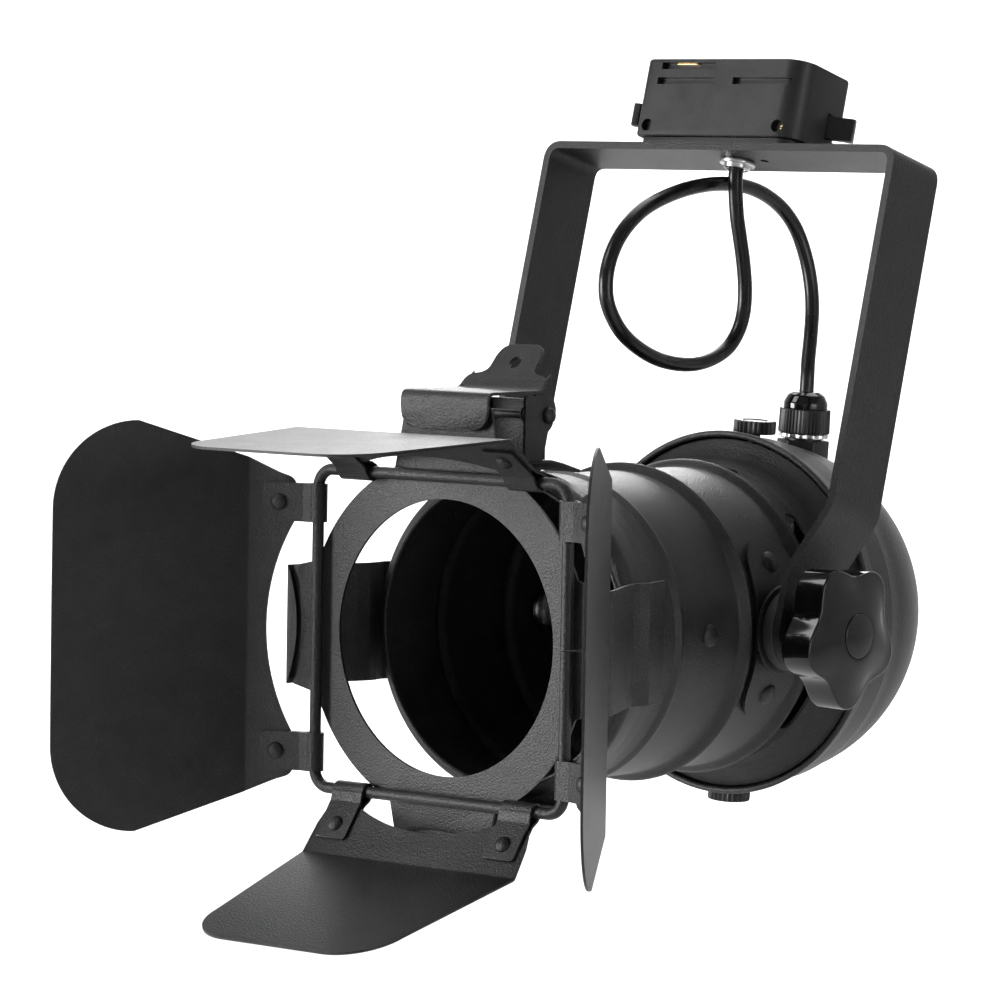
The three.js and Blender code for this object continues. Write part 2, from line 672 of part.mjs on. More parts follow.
// ---------------------------------------------------------------- clips that hold the ring plate
/** Bent strip on the +X side: flange on the can, waisted run forward, lip round the tab's end. */
function clip() {
  const path = rounded([
    [53, 61.1], [38.3, 64.9], [33, 63.9], [26, 65.4], [2.5, 76.7], [-1.1, 77],
    [-1.1, 70],
  ], [2, 5, 5, 2, 1], 2);
  const strip = slab(sheetOutline(path.map(([y, r]) => [r, y]), CLIP_SHEET),
    -CLIP_WIDTH / 2, CLIP_WIDTH / 2);
  const lipTrim = slabY([
    [60, CLIP_WIDTH], ...arc(71.6 - 60, 0, 60, rad(24), rad(-24), 10), [60, -CLIP_WIDTH],
  ], -3, -0.2);
  return cut(strip, lipTrim);
}
const SIDES = { right: 0, top: -Math.PI / 2, left: Math.PI, bottom: Math.PI / 2 };
for (const side of ['right', 'left', 'bottom']) {
  piece(can, `clip_${side}`, placed(clip(), { turn: [0, SIDES[side], 0] }), blackPowder);
}

// ---------------------------------------------------------------- latch at the top
const EAR_X = 20;
const STOP_HALF = 15;

/** The bracket on the can's rim: a strip, two ears that carry the latch pin, and a back stop. */
function latchBracket() {
  const path = rounded([[53, 61.1], [42.5, 63.9], [36, 65.2], [20, 65.2]], [2, 4], 3);
  const strip = slabX(sheetOutline(path, CLIP_SHEET), -EAR_X - 0.6, EAR_X + 0.6);
  const ear = [
    [20, 65], [20, LATCH_TOP - 1.2], [35.6, LATCH_TOP - 1.2], [36.4, 87.5],
    ...arc(LATCH_PIN_Y, LATCH_PIN_Z, 5.4, rad(48), rad(-50), 6), [31.8, 74], [30.6, 65],
  ];
  const ears = [1, -1].map((side) => slabX(ear, side * EAR_X - 0.6, side * EAR_X + 0.6));
  const stop = slabX([[37.8, 64.5], [39, 64.5], [39, 88], [37.8, 88]], -STOP_HALF, STOP_HALF);
  return cut(
    join(strip, stop, ...ears),
    placed(rodX(1.9, -30, 30, 14), { at: [0, LATCH_PIN_Y, LATCH_PIN_Z] }),
  );
}

/** The sprung latch: hooked flap in front of the tab, web, rising thumb tab, two side lugs. */
function latch() {
  const sheet = 1.2;
  const path = rounded([[-2, 77.4], [-2, LATCH_TOP], [30, LATCH_TOP], [45, 107.4]], [3.5, 5], 3);
  const strip = slabX(sheetOutline(path, sheet), -21, 21);
  const flapTrim = slabY([
    [-21, 60], ...arc(-13, 85.4, 8, Math.PI, 1.5 * Math.PI, 6), [-13, 60],
  ], -4, 0);
  const upTilt = Math.atan2(16.4, 15);
  const tabPlan = cut(
    slab([
      [-40, 3.2], [-19, 3.2], [-19.6, 6], [-17.5, 8], [-11.5, 8],
      ...arc(-4.3, 14.6, 6.4, Math.PI, Math.PI / 2, 5), ...arc(4.3, 14.6, 6.4, Math.PI / 2, 0, 5),
      [11.5, 8], [17.5, 8], [19.6, 6], [19, 3.2], [40, 3.2], [40, 40], [-40, 40],
    ], -6, 6),
  );
  const trim = placed(tabPlan, { at: [0, 30, LATCH_TOP], turn: [upTilt, 0, 0] });
  const lug = [
    [27.5, LATCH_TOP - 0.4], ...arc(LATCH_PIN_Y, LATCH_PIN_Z, 4.4, Math.PI, 2 * Math.PI, 8),
    [36.8, LATCH_TOP + 6.5], [30.5, LATCH_TOP],
  ];
  const lugs = [1, -1].map((side) => slabX(lug, side * 18.4 - 0.5, side * 18.4 + 0.5));
  const hole = placed(rodZ(2.8, -6, 6, 18), { at: [0, 30, LATCH_TOP], turn: [upTilt, 0, 0] });
  const holeUp = placed(hole, { at: [0, Math.cos(upTilt) * 13.2, Math.sin(upTilt) * 13.2] });
  return cut(
    join(cut(strip, flapTrim, mirror(flapTrim), trim), ...lugs),
    holeUp,
    placed(rodX(1.9, -30, 30, 14), { at: [0, LATCH_PIN_Y, LATCH_PIN_Z] }),
  );
}

const atPin = (shape) => placed(shape, { at: [0, LATCH_PIN_Y, LATCH_PIN_Z] });
const coil = Array.from({ length: 41 }, (_, i) => {
  const angle = (i / 8) * 2 * Math.PI;
  return [9.6 + i * 0.18, 2.9 * Math.cos(angle), 2.9 * Math.sin(angle)];
});
piece(can, 'latch_bracket', latchBracket(), blackPowder);
piece(can, 'latch', latch(), blackPowder);
const pin = join(rodX(1.55, -22.8, 22, 14), rodX(3, EAR_X + 0.9, 23.2, 16));
piece(can, 'latch_pin', atPin(pin), blackPowder);
piece(can, 'latch_spring', atPin(wire(coil, 0.5, 5)), blackPowder);

// ---------------------------------------------------------------- ring plate and wire square
function ringPlate() {
  const tab = (end, turn) => {
    const taper = (end - 60) * Math.tan(rad(10));
    return placed(
      slabY([[55, -25], [60, -25], [end, -25 + taper], [end, 25 - taper], [60, 25], [55, 25]],
        0, RING_SHEET),
      { turn: [0, turn, 0] },
    );
  };
  const plate = join(
    rodY(RING_R, 0, RING_SHEET, 64),
    tab(TAB_END, SIDES.right), tab(TAB_END, SIDES.left),
    tab(TAB_END, SIDES.bottom), tab(TOP_TAB_END, SIDES.top),
  );
  return cut(plate, rodY(RING_HOLE, -5, 5, 64));
}
piece(can, 'ring_plate', ringPlate(), blackPowder);

/** The wire square, open at its butt joint half way up the right side. */
function wireSquare() {
  const h = ROD_HALF;
  const inner = h - ROD_BEND;
  const corner = (sx, sz, from) =>
    arc(sx * inner, sz * inner, ROD_BEND, from, from + Math.PI / 2, 4);
  const path = [
    [h, 0.2], ...corner(1, 1, 0), ...corner(-1, 1, Math.PI / 2), ...corner(-1, -1, Math.PI),
    ...corner(1, -1, 1.5 * Math.PI), [h, -0.2],
  ];
  return wire(path.map(([x, z]) => [x, ROD_Y, z]), ROD_R, 12);
}
piece(can, 'wire_square', wireSquare(), blackPowder);

// ---------------------------------------------------------------- barn doors
// A leaf is drawn flat: x runs along its rod, y outward from the rod, z toward the beam.
const WIDE = {
  fold: 63.5, strapAt: 47, cutDeep: 20.2, shoulder: 57,
  side: [77.4, 43.5], tip: 76.6, corner: 33,
};
const NARROW = {
  fold: 51, strapAt: 40.4, cutDeep: 14.2, shoulder: 50,
  side: [44.5, 56.5], tip: 77.2, corner: 20.7,
};

const bothSides = (half) => [...half, ...[...half].reverse().map(([x, y]) => [-x, y])];

function leaf(kind) {
  const t = LEAF_SHEET / 2;
  const hollow = kind.strapAt - 6;
  const swing = Math.asin(hollow / LEAF_CUT_R);
  const centre = kind.cutDeep - LEAF_CUT_R;
  const hollowEdge = arc(0, centre, LEAF_CUT_R, Math.PI / 2, Math.PI / 2 - swing, 8);
  const bend = new THREE.QuadraticBezierCurve(
    new THREE.Vector2(kind.strapAt + 4, hollowEdge[8][1]),
    new THREE.Vector2(kind.shoulder, hollowEdge[8][1]),
    new THREE.Vector2(kind.shoulder + 1, 16),
  );
  const root = bothSides([
    ...hollowEdge.slice(1), ...bend.getPoints(4).map((p) => [p.x, p.y]),
    [kind.fold, LEAF_ROOT - 4], [kind.fold, LEAF_ROOT + t * Math.tan(LEAF_FOLD / 2)],
  ]);
  const [sideX, sideY] = kind.side;
  const cornerArc = arc(sideX - kind.corner, sideY, kind.corner, 0, Math.PI / 2, 8);
  const outer = bothSides([
    [kind.fold, -t * Math.tan(LEAF_FOLD / 2)], [kind.fold, 1], ...cornerArc,
    [cornerArc[8][0] * 0.5, kind.tip],
  ]);
  const bent = placed(slab(outer, -t, t), { at: [0, LEAF_ROOT, 0], turn: [LEAF_FOLD, 0, 0] });
  const holes = [1, -1].map((side) =>
    placed(rodZ(2, -5, 5, 12), { at: [side * kind.strapAt, 15.3, 0] }));
  return cut(join(slab(root, -t, t), bent), ...holes);
}

/** A strap folded round the rod, with the rivet that pins it to the leaf. */
function strap() {
  const loop = ROD_R + GAP + STRAP_SHEET / 2;
  const flat = LEAF_SHEET / 2 + GAP + STRAP_SHEET / 2;
  const half = [[STRAP_REACH, flat], [loop + 2.6, flat], [2, loop - 0.2]];
  const round = arc(0, 0, loop, rad(65), rad(295), 7);
  const path = [...half, ...round, ...[...half].reverse().map(([y, z]) => [y, -z])];
  const sheet = slabX(sheetOutline(path, STRAP_SHEET), -STRAP_WIDTH / 2, STRAP_WIDTH / 2);
  const rivet = join(
    placed(dome(3.2, 1.8), { at: [0, 15.3, flat + STRAP_SHEET / 2] }),
    placed(rodZ(1.6, -flat - 0.9, flat + 0.9, 10), { at: [0, 15.3, 0] }),
  );
  return join(sheet, rivet);
}

const OPEN = { top: rad(35.5), bottom: rad(54.5), left: rad(68), right: rad(70.5) };
/** Each rod's leaf frame: along the rod, and outward from the beam. */
const OUTWARD = {
  top: new THREE.Vector3(0, 0, 1),
  bottom: new THREE.Vector3(0, 0, -1),
  left: new THREE.Vector3(-1, 0, 0),
  right: new THREE.Vector3(1, 0, 0),
};
for (const [side, outward] of Object.entries(OUTWARD)) {
  const kind = side === 'left' || side === 'right' ? WIDE : NARROW;
  const frame = new THREE.Group();
  const reach = new THREE.Vector3(0, -Math.cos(OPEN[side]), 0)
    .addScaledVector(outward, Math.sin(OPEN[side]));
  const inward = new THREE.Vector3(0, -Math.sin(OPEN[side]), 0)
    .addScaledVector(outward, -Math.cos(OPEN[side]));
  const along = reach.clone().cross(inward);
  frame.setRotationFromMatrix(new THREE.Matrix4().makeBasis(along, reach, inward));
  frame.position.copy(outward).multiplyScalar(ROD_HALF);
  frame.position.y = ROD_Y;
  can.add(frame);
  piece(frame, `leaf_${side}`, leaf(kind), blackPowder);
  piece(frame, `strap_${side}_a`, placed(strap(), { at: [kind.strapAt, 0, 0] }), blackPowder);
  piece(frame, `strap_${side}_b`, placed(strap(), { at: [-kind.strapAt, 0, 0] }), blackPowder);
}

// ---------------------------------------------------------------- cord
/** The cord's run in the can's frame: out of the nipple, one loose turn, into the gland. */
const CORD_ROUTE = [
  [0, 177.2, 183.5], [0, 175.8, 178.4], [0, 174.5, 173.4], [0.1, 174.3, 168], [0.1, 174.9, 162],
  [0.2, 175.8, 155.5], [0.2, 178, 147.5], [0, 180.6, 138.5], [-0.3, 182.5, 129],
  [-0.6, 182.6, 120], [-0.9, 180, 112], [-1.2, 173.5, 104.8], [-1.5, 163, 100.4],
  [-1.8, 151, 98.5], [-2, 138, 99.2], [-2.3, 126, 101.8], [-2.8, 113.5, 107.2],
  [-3.2, 104.5, 114], [-3.8, 98.8, 123], [-4.3, 98.4, 132], [-5, 102, 140.8],
  [-5.8, 109, 149], [-6.6, 119.5, 156.3], [-7.2, 131, 161.3], [-7.7, 146, 165.5],
  [-8.1, 161, 168.1], [-8.5, 176, 169.2], [-8.2, 190, 168.6], [-7.6, 203, 165.7],
  [-6.9, 215, 160], [-5.8, 223.5, 151.8], [-4, 228, 141], [-2, 229.3, 130], [0, 228, 119.5],
  [1.8, 224.8, 108.5], [3.9, 220.6, 99], [5.4, 218, 89.5], [4.3, 218, 71.5],
];
piece(can, 'power_cord', wire(CORD_ROUTE, CORD_R, 10), rubber);

export default model;
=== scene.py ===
"""Looks of the track spot lamp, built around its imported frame.

Pieces are drawn in millimetres in the frame that suits them (the can's, the yoke's, the twisted
cap's or a leaf's) and are moved into the row frame, in metres, as each one is made.
"""

import math

import bmesh
import bpy
from mathutils import Matrix, Vector


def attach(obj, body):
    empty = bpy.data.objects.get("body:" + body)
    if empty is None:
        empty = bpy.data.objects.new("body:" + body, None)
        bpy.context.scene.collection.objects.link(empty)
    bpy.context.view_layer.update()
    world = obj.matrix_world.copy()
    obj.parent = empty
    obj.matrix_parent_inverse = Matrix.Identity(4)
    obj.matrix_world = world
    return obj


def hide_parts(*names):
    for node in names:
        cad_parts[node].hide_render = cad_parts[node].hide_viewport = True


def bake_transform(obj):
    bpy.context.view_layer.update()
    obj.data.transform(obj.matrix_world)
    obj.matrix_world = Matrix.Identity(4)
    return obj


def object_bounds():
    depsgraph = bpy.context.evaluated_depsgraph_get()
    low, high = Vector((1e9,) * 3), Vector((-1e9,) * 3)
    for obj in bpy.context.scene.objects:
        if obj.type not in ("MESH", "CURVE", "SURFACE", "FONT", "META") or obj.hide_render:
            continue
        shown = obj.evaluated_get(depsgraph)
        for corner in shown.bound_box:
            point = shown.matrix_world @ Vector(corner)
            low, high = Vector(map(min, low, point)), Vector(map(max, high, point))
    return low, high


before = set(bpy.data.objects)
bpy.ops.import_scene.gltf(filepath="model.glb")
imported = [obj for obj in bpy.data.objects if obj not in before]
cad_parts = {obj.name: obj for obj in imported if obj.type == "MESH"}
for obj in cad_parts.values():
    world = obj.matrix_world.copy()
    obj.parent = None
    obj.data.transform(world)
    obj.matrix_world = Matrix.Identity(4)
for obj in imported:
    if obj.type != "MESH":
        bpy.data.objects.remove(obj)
cad_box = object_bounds()

# ---------------------------------------------------------------- driving sizes, as in the CAD
PIVOT_Y = 128.0
LEAN = math.radians(15)
ADAPTER_TOP = 221.5
ADAPTER_X = -2.5
YOKE_TOP = 187.7
YOKE_SHEET = 3.0
YOKE_WIDTH = 31.0
YOKE_HALF = 85.5
EAR_MID = 69.5
BODY_R = 58.5
FLARE_R, FLARE_END = 68.7, 172.0
SHELL = 1.2
DOME_Y, DOME_R, DOME_DEPTH = 190.0, 67.6, 65.8
CAP_RIM_R, CAP_RIM_Y = 71.9, 171.5
CAP_TWIST = math.radians(3.5)
THUMB_Y = 184.5
GLAND_Y = 218.0
SEAT_Y = 203.0
ROD_Y, ROD_R, ROD_HALF = -3.1, 2.2, 60.0
LEAF_ROOT, LEAF_FOLD = 28.0, math.radians(38.5)
LEAF_CUT_R = 79.5
LEAF_SHEET, STRAP_SHEET, STRAP_WIDTH = 1.0, 0.9, 14.5
THIN_SHEET = 1.2  # ring plate, clips, latch and its bracket
BOLT_BORE = 4.5  # radius of the hole the pivot studs go through
LATCH_PIN_Y, LATCH_PIN_Z, LATCH_TOP = 33.0, 82.4, 91.0
STOP_HALF = 15.0
FLOOR_DROP = 0.19  # metres of air under the lamp, room for every pose

ORIGIN = Vector((
    ADAPTER_X, PIVOT_Y + ADAPTER_TOP * math.sin(LEAN), ADAPTER_TOP * math.cos(LEAN),
))
CAN = Matrix.Translation(-ORIGIN)
YOKE = Matrix.Translation(Vector((0, PIVOT_Y, 0)) - ORIGIN) @ Matrix.Rotation(-LEAN, 4, "X")
CAP = CAN @ Matrix.Rotation(CAP_TWIST, 4, "Y")
PIVOT = CAN @ Matrix.Translation((0, PIVOT_Y, 0))
TO_METRES = Matrix.Scale(0.001, 4)

ALONG_Y = Matrix.Rotation(-math.pi / 2, 4, "X")  # turns Z onto Y
ALONG_X = Matrix.Rotation(math.pi / 2, 4, "Y")  # turns Z onto X
MIRROR_X = Matrix.Scale(-1, 4, (1, 0, 0))
MIRROR_Z = Matrix.Scale(-1, 4, (0, 0, 1))
SWAP_XY = Matrix(((0, 1, 0, 0), (1, 0, 0, 0), (0, 0, 1, 0), (0, 0, 0, 1)))
# A plate drawn in (y, z) and running along x.
SIDE_ON = Matrix(((0, 0, 1, 0), (1, 0, 0, 0), (0, 1, 0, 0), (0, 0, 0, 1)))
# A bent strip (width, out, along) that runs out along X and forward along Y.
STRIP_ON_X = Matrix(((0, 1, 0, 0), (0, 0, 1, 0), (1, 0, 0, 0), (0, 0, 0, 1)))


# ---------------------------------------------------------------- camera, first of all
CAMERA_AT = (1168.5, -1400.1, 169.4)  # in the can's frame, as is the point it looks at
CAMERA_AIM = (12.1, 16.3, 51.2)
CAMERA_ROLL = math.radians(1.0)
CAMERA_SENSOR, CAMERA_LENS = 36, 178.5


def camera():
    place = CAN @ Vector(CAMERA_AT) / 1000
    target = CAN @ Vector(CAMERA_AIM) / 1000
    data = bpy.data.cameras.new("camera")
    data.sensor_width, data.lens = CAMERA_SENSOR, CAMERA_LENS
    data.clip_start, data.clip_end = 0.05, 50
    made = bpy.data.objects.new("camera", data)
    looking = (target - place).to_track_quat("-Z", "Y").to_matrix().to_4x4()
    roll = Matrix.Rotation(CAMERA_ROLL, 4, "Z")
    made.matrix_world = Matrix.Translation(place) @ looking @ roll
    bpy.context.scene.collection.objects.link(made)
    bpy.context.scene.camera = made


# ---------------------------------------------------------------- materials
def texture(tree, kind, **values):
    node = tree.nodes.new(kind)
    for name, value in values.items():
        node.inputs[name].default_value = value
    return node


def material(name, color, rough, metal=0.0, grain=1400.0, grain_depth=0.1, spread=0.06,
             mottle=90.0, shade=0.25, glint=0.5):
    """A worked surface: colour and roughness that drift, and a fine grain in its bump.

    grain and mottle are how many spots of noise fit in a metre, and grain_depth is in millimetres.
    """
    made = bpy.data.materials.new(name)
    made.use_nodes = True
    tree = made.node_tree
    shader = tree.nodes["Principled BSDF"]
    shader.inputs["Metallic"].default_value = metal
    shader.inputs["Specular IOR Level"].default_value = glint
    place = tree.nodes.new("ShaderNodeTexCoord")

    drift = texture(tree, "ShaderNodeTexNoise", Scale=mottle, Detail=4.0)
    fine = texture(tree, "ShaderNodeTexNoise", Scale=grain, Detail=2.0, Roughness=0.6)
    for noise in (drift, fine):
        tree.links.new(place.outputs["Object"], noise.inputs["Vector"])

    # The product of the two noises runs from about 0.12 to 0.42, which the ramp spreads out.
    both = tree.nodes.new("ShaderNodeMath")
    both.operation = "MULTIPLY"
    tree.links.new(drift.outputs["Fac"], both.inputs[0])
    tree.links.new(fine.outputs["Fac"], both.inputs[1])
    tint = tree.nodes.new("ShaderNodeValToRGB")
    low = [c * (1 - shade) for c in color]
    high = [min(c * (1 + 1.6 * shade), 1) for c in color]
    tint.color_ramp.elements[0].position = 0.12
    tint.color_ramp.elements[0].color = (*low, 1)
    tint.color_ramp.elements[1].position = 0.42
    tint.color_ramp.elements[1].color = (*high, 1)
    tree.links.new(both.outputs[0], tint.inputs["Fac"])
    tree.links.new(tint.outputs["Color"], shader.inputs["Base Color"])

    gloss = texture(tree, "ShaderNodeMapRange", **{
        "From Min": 0.3, "From Max": 0.7,
        "To Min": max(rough - spread, 0.02), "To Max": min(rough + spread, 1),
    })
    tree.links.new(drift.outputs["Fac"], gloss.inputs["Value"])
    tree.links.new(gloss.outputs["Result"], shader.inputs["Roughness"])

    bump = texture(tree, "ShaderNodeBump", Strength=1.0, Distance=grain_depth / 1000)
    tree.links.new(fine.outputs["Fac"], bump.inputs["Height"])
    tree.links.new(bump.outputs["Normal"], shader.inputs["Normal"])
    return made


POWDER = material("powder_coat", (0.009, 0.0091, 0.0098), 0.42, grain=1300, grain_depth=0.35,
                  spread=0.02, shade=0.5, glint=0.4)
MOULDED = material("moulded", (0.009, 0.009, 0.009), 0.4, grain=900, grain_depth=0.04,
                   spread=0.05, glint=0.42)
GLOSS = material("gloss", (0.003, 0.003, 0.003), 0.1, grain=500, grain_depth=0.006, spread=0.04,
                 shade=0.2)
SHEATH = material("sheath", (0.004, 0.004, 0.004), 0.28, grain=700, grain_depth=0.02,
                  spread=0.07, glint=0.4)
FIBRE = material("fibre", (0.02, 0.02, 0.02), 0.65, grain=1500, grain_depth=0.06)
ZINC = material("zinc", (0.62, 0.62, 0.62), 0.28, metal=1.0, grain=900, grain_depth=0.012,
                spread=0.08, shade=0.12)
BRASS = material("brass", (0.72, 0.5, 0.24), 0.3, metal=1.0, grain=800, grain_depth=0.012,
                 spread=0.08, shade=0.15)
CERAMIC = material("ceramic", (0.76, 0.74, 0.68), 0.3, grain=600, grain_depth=0.02, shade=0.06)


# ---------------------------------------------------------------- mesh helpers
def arc(cx, cy, radius, start, end, steps):
    """Points on an arc, angles in degrees, both ends included."""
    angles = [math.radians(start + (end - start) * i / steps) for i in range(steps + 1)]
    return [(cx + radius * math.cos(a), cy + radius * math.sin(a)) for a in angles]


def fillet(points, radii, steps=4, closed=False):
    """Rounds the corners of an outline; radii is one number, or one for each point."""
    count = len(points)
    if not hasattr(radii, "__len__"):
        radii = [radii] * count
    out = []
    for i, (point, radius) in enumerate(zip(points, radii)):
        here = Vector(point)
        back = Vector(points[i - 1]) - here
        on = Vector(points[(i + 1) % count]) - here
        end = not closed and i in (0, count - 1)
        half = 0 if end or radius == 0 else back.angle(on) / 2
        if end or radius == 0 or half > math.radians(89):
            out.append(tuple(here))
            continue
        reach = min(radius / math.tan(half), back.length * 0.48, on.length * 0.48)
        start, stop = here + back.normalized() * reach, here + on.normalized() * reach
        for k in range(steps + 1):
            t = k / steps
            out.append(tuple(start * (1 - t) ** 2 + here * 2 * t * (1 - t) + stop * t * t))
    return out


def mirrored(half):
    """The whole of an outline, from the half of it on one side of its first axis."""
    return half + [(a, -b) for a, b in reversed(half)]


def skin(rows, around=True, loop=False):
    """Quads between rows of points; a row of one point is a tip, and open ends are capped."""
    mesh = bmesh.new()
    made = [[mesh.verts.new(p) for p in row] for row in rows]
    pairs = list(zip(made, made[1:])) + ([(made[-1], made[0])] if loop else [])
    for a, b in pairs:
        count = max(len(a), len(b))
        for i in range(count if around else count - 1):
            j = (i + 1) % count
            corners = [a[i % len(a)], a[j % len(a)], b[j % len(b)], b[i % len(b)]]
            corners = list(dict.fromkeys(corners))
            if len(corners) > 2:
                mesh.faces.new(corners)
    if not loop:
        for row in (made[0], made[-1]):
            if len(row) > 2:
                mesh.faces.new(row)
    return mesh


def revolve(profile, sides=64, closed=False, wave=None):
    """A solid of revolution about Z from (radius, z); wave(angle, radius, z) gives a radius."""
    rows = []
    for radius, z in profile:
        if radius < 1e-6:
            rows.append([(0, 0, z)])
            continue
        row = []
        for i in range(sides):
            angle = 2 * math.pi * i / sides
            r = wave(angle, radius, z) if wave else radius
            row.append((r * math.cos(angle), r * math.sin(angle), z))
        rows.append(row)
    return skin(rows, loop=closed)


def ring(bore, radius, low, high, sides=64, edge=0.3):
    """A washer or collar about Z, its corners softened."""
    outline = [(bore, low), (radius, low), (radius, high), (bore, high)]
    return revolve(fillet(outline, edge, 2, closed=True), sides, closed=True)


def rod(radius, low, high, sides=32, edge=0.3):
    outline = [(0, low), (radius, low), (radius, high), (0, high)]
    return revolve(fillet(outline, edge, 2), sides)


def dome(radius, height, foot=0.6, sides=28):
    """A rivet head that swells along Z."""
    crown = [(radius * math.cos(a), height * math.sin(a))
             for a in (math.pi / 2 * i / 6 for i in range(6))]
    return revolve([(0, -foot), (radius, -foot), *crown, (0, height)], sides)


def plate(outline, low, high, edge=0.22):
    """A flat solid drawn in (x, y) and standing along z, its edges softened."""
    mesh = bmesh.new()
    floor = [mesh.verts.new((x, y, low)) for x, y in outline]
    roof = [mesh.verts.new((x, y, high)) for x, y in outline]
    mesh.faces.new(list(reversed(floor)))
    mesh.faces.new(roof)
    count = len(outline)
    for i in range(count):
        j = (i + 1) % count
        mesh.faces.new((floor[i], floor[j], roof[j], roof[i]))
    if edge:
        level = [e for e in mesh.edges if abs(e.verts[0].co.z - e.verts[1].co.z) < 1e-6]
        bmesh.ops.bevel(mesh, geom=level, offset=edge, segments=2, profile=0.5,
                        affect="EDGES", clamp_overlap=True)
    return mesh


def bend(mesh, path):
    """Rolls a flat solid along a path: its x runs along it, its y is the width.

    The result reads (width, path x, path y).
    """
    points = [Vector(p) for p in path]
    steps = [b - a for a, b in zip(points, points[1:])]
    stations = [0.0]
    for step in steps:
        stations.append(stations[-1] + step.length)
    for station in stations[1:-1]:
        everything = mesh.verts[:] + mesh.edges[:] + mesh.faces[:]
        bmesh.ops.bisect_plane(mesh, geom=everything, dist=1e-4, plane_co=(station, 0, 0),
                               plane_no=(1, 0, 0))
    flats = [Vector((-s.y, s.x)).normalized() for s in steps]
    normals = []
    for before, after in zip([flats[0], *flats], [*flats, flats[-1]]):
        normal = (before + after).normalized()
        normals.append(normal / normal.dot(before))
    for vert in mesh.verts:
        s, width, off = vert.co
        i = max(k for k in range(len(steps)) if k == 0 or stations[k] <= s + 1e-5)
        t = (s - stations[i]) / (stations[i + 1] - stations[i])
        base = points[i].lerp(points[i + 1], t)
        normal = normals[i].lerp(normals[i + 1], min(max(t, 0), 1))
        vert.co = (width, base.x + normal.x * off, base.y + normal.y * off)
    return mesh


def length_of(path):
    return sum((Vector(b) - Vector(a)).length for a, b in zip(path, path[1:]))


def tube(points, radius, sides=24):
    """A round bar along a list of points, its ends capped."""
    points = [Vector(p) for p in points]
    rows = []
    side = None
    for i, point in enumerate(points):
        along = (points[min(i + 1, len(points) - 1)] - points[max(i - 1, 0)]).normalized()
        side = side or along.orthogonal()
        side = (side - along * side.dot(along)).normalized()
        other = along.cross(side)
        turns = [2 * math.pi * k / sides for k in range(sides)]
        rows.append([point + (side * math.cos(a) + other * math.sin(a)) * radius for a in turns])
    return skin(rows)


def moved(mesh, *steps):
    """The mesh after each matrix in turn."""
    for step in steps:
        mesh.transform(step)
    return mesh


def shift(x=0.0, y=0.0, z=0.0):
    return Matrix.Translation((x, y, z))


def joined(*meshes):
    whole = bmesh.new()
    for mesh in meshes:
        data = bpy.data.meshes.new("joining")
        mesh.to_mesh(data)
        mesh.free()
        whole.from_mesh(data)
        bpy.data.meshes.remove(data)
    return whole


def carved(mesh, *knives):
    """The mesh with the knives cut out of it."""
    pair = []
    for source in (mesh, joined(*knives)):
        bmesh.ops.recalc_face_normals(source, faces=source.faces)
        data = bpy.data.meshes.new("carving")
        source.to_mesh(data)
        source.free()
        made = bpy.data.objects.new("carving", data)
        bpy.context.scene.collection.objects.link(made)
        pair.append(made)
    solid, knife = pair
    cut = solid.modifiers.new("cut", "BOOLEAN")
    cut.operation, cut.solver, cut.object = "DIFFERENCE", "EXACT", knife
    bpy.context.view_layer.update()
    result = bmesh.new()
    result.from_mesh(solid.evaluated_get(bpy.context.evaluated_depsgraph_get()).data)
    for made in pair:
        data = made.data
        bpy.data.objects.remove(made)
        bpy.data.meshes.remove(data)
    return result


def show(name, mesh, place, body, finish, nodes, sharp=32):
    """Puts a finished mesh in the scene, riding its body and standing for its CAD nodes."""
    mesh.transform(TO_METRES @ place)
    bmesh.ops.recalc_face_normals(mesh, faces=mesh.faces)
    data = bpy.data.meshes.new(name)
    mesh.to_mesh(data)
    mesh.free()
    data.shade_smooth()
    data.set_sharp_from_angle(angle=math.radians(sharp))
    data.materials.append(finish)
    made = bpy.data.objects.new(name, data)
    bpy.context.scene.collection.objects.link(made)
    if body:
        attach(made, body)
    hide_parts(*nodes)
    return made


# ---------------------------------------------------------------- cord
CORD_R, CORD_SIDES = 0.0029, 24
CORD_FIRST, CORD_SPAN = 0.06, 0.82  # where along the run the blend starts, and how far it goes
# The run in the can's frame, in metres, as in the CAD.
CORD_ROUTE = [
    (0, 0.1772, 0.1835), (0, 0.1758, 0.1784), (0, 0.1745, 0.1734), (0.0001, 0.1743, 0.168),
    (0.0001, 0.1749, 0.162), (0.0002, 0.1758, 0.1555), (0.0002, 0.178, 0.1475),
    (0, 0.1806, 0.1385), (-0.0003, 0.1825, 0.129), (-0.0006, 0.1826, 0.12),
    (-0.0009, 0.18, 0.112), (-0.0012, 0.1735, 0.1048), (-0.0015, 0.163, 0.1004),
    (-0.0018, 0.151, 0.0985), (-0.002, 0.138, 0.0992), (-0.0023, 0.126, 0.1018),
    (-0.0028, 0.1135, 0.1072), (-0.0032, 0.1045, 0.114), (-0.0038, 0.0988, 0.123),
    (-0.0043, 0.0984, 0.132), (-0.005, 0.102, 0.1408), (-0.0058, 0.109, 0.149),
    (-0.0066, 0.1195, 0.1563), (-0.0072, 0.131, 0.1613), (-0.0077, 0.146, 0.1655),
    (-0.0081, 0.161, 0.1681), (-0.0085, 0.176, 0.1692), (-0.0082, 0.19, 0.1686),
    (-0.0076, 0.203, 0.1657), (-0.0069, 0.215, 0.16), (-0.0058, 0.2235, 0.1518),
    (-0.004, 0.228, 0.141), (-0.002, 0.2293, 0.13), (0, 0.228, 0.1195),
    (0.0018, 0.2248, 0.1085), (0.0039, 0.2206, 0.099), (0.0054, 0.218, 0.0895),
    (0.0043, 0.218, 0.0715),
]


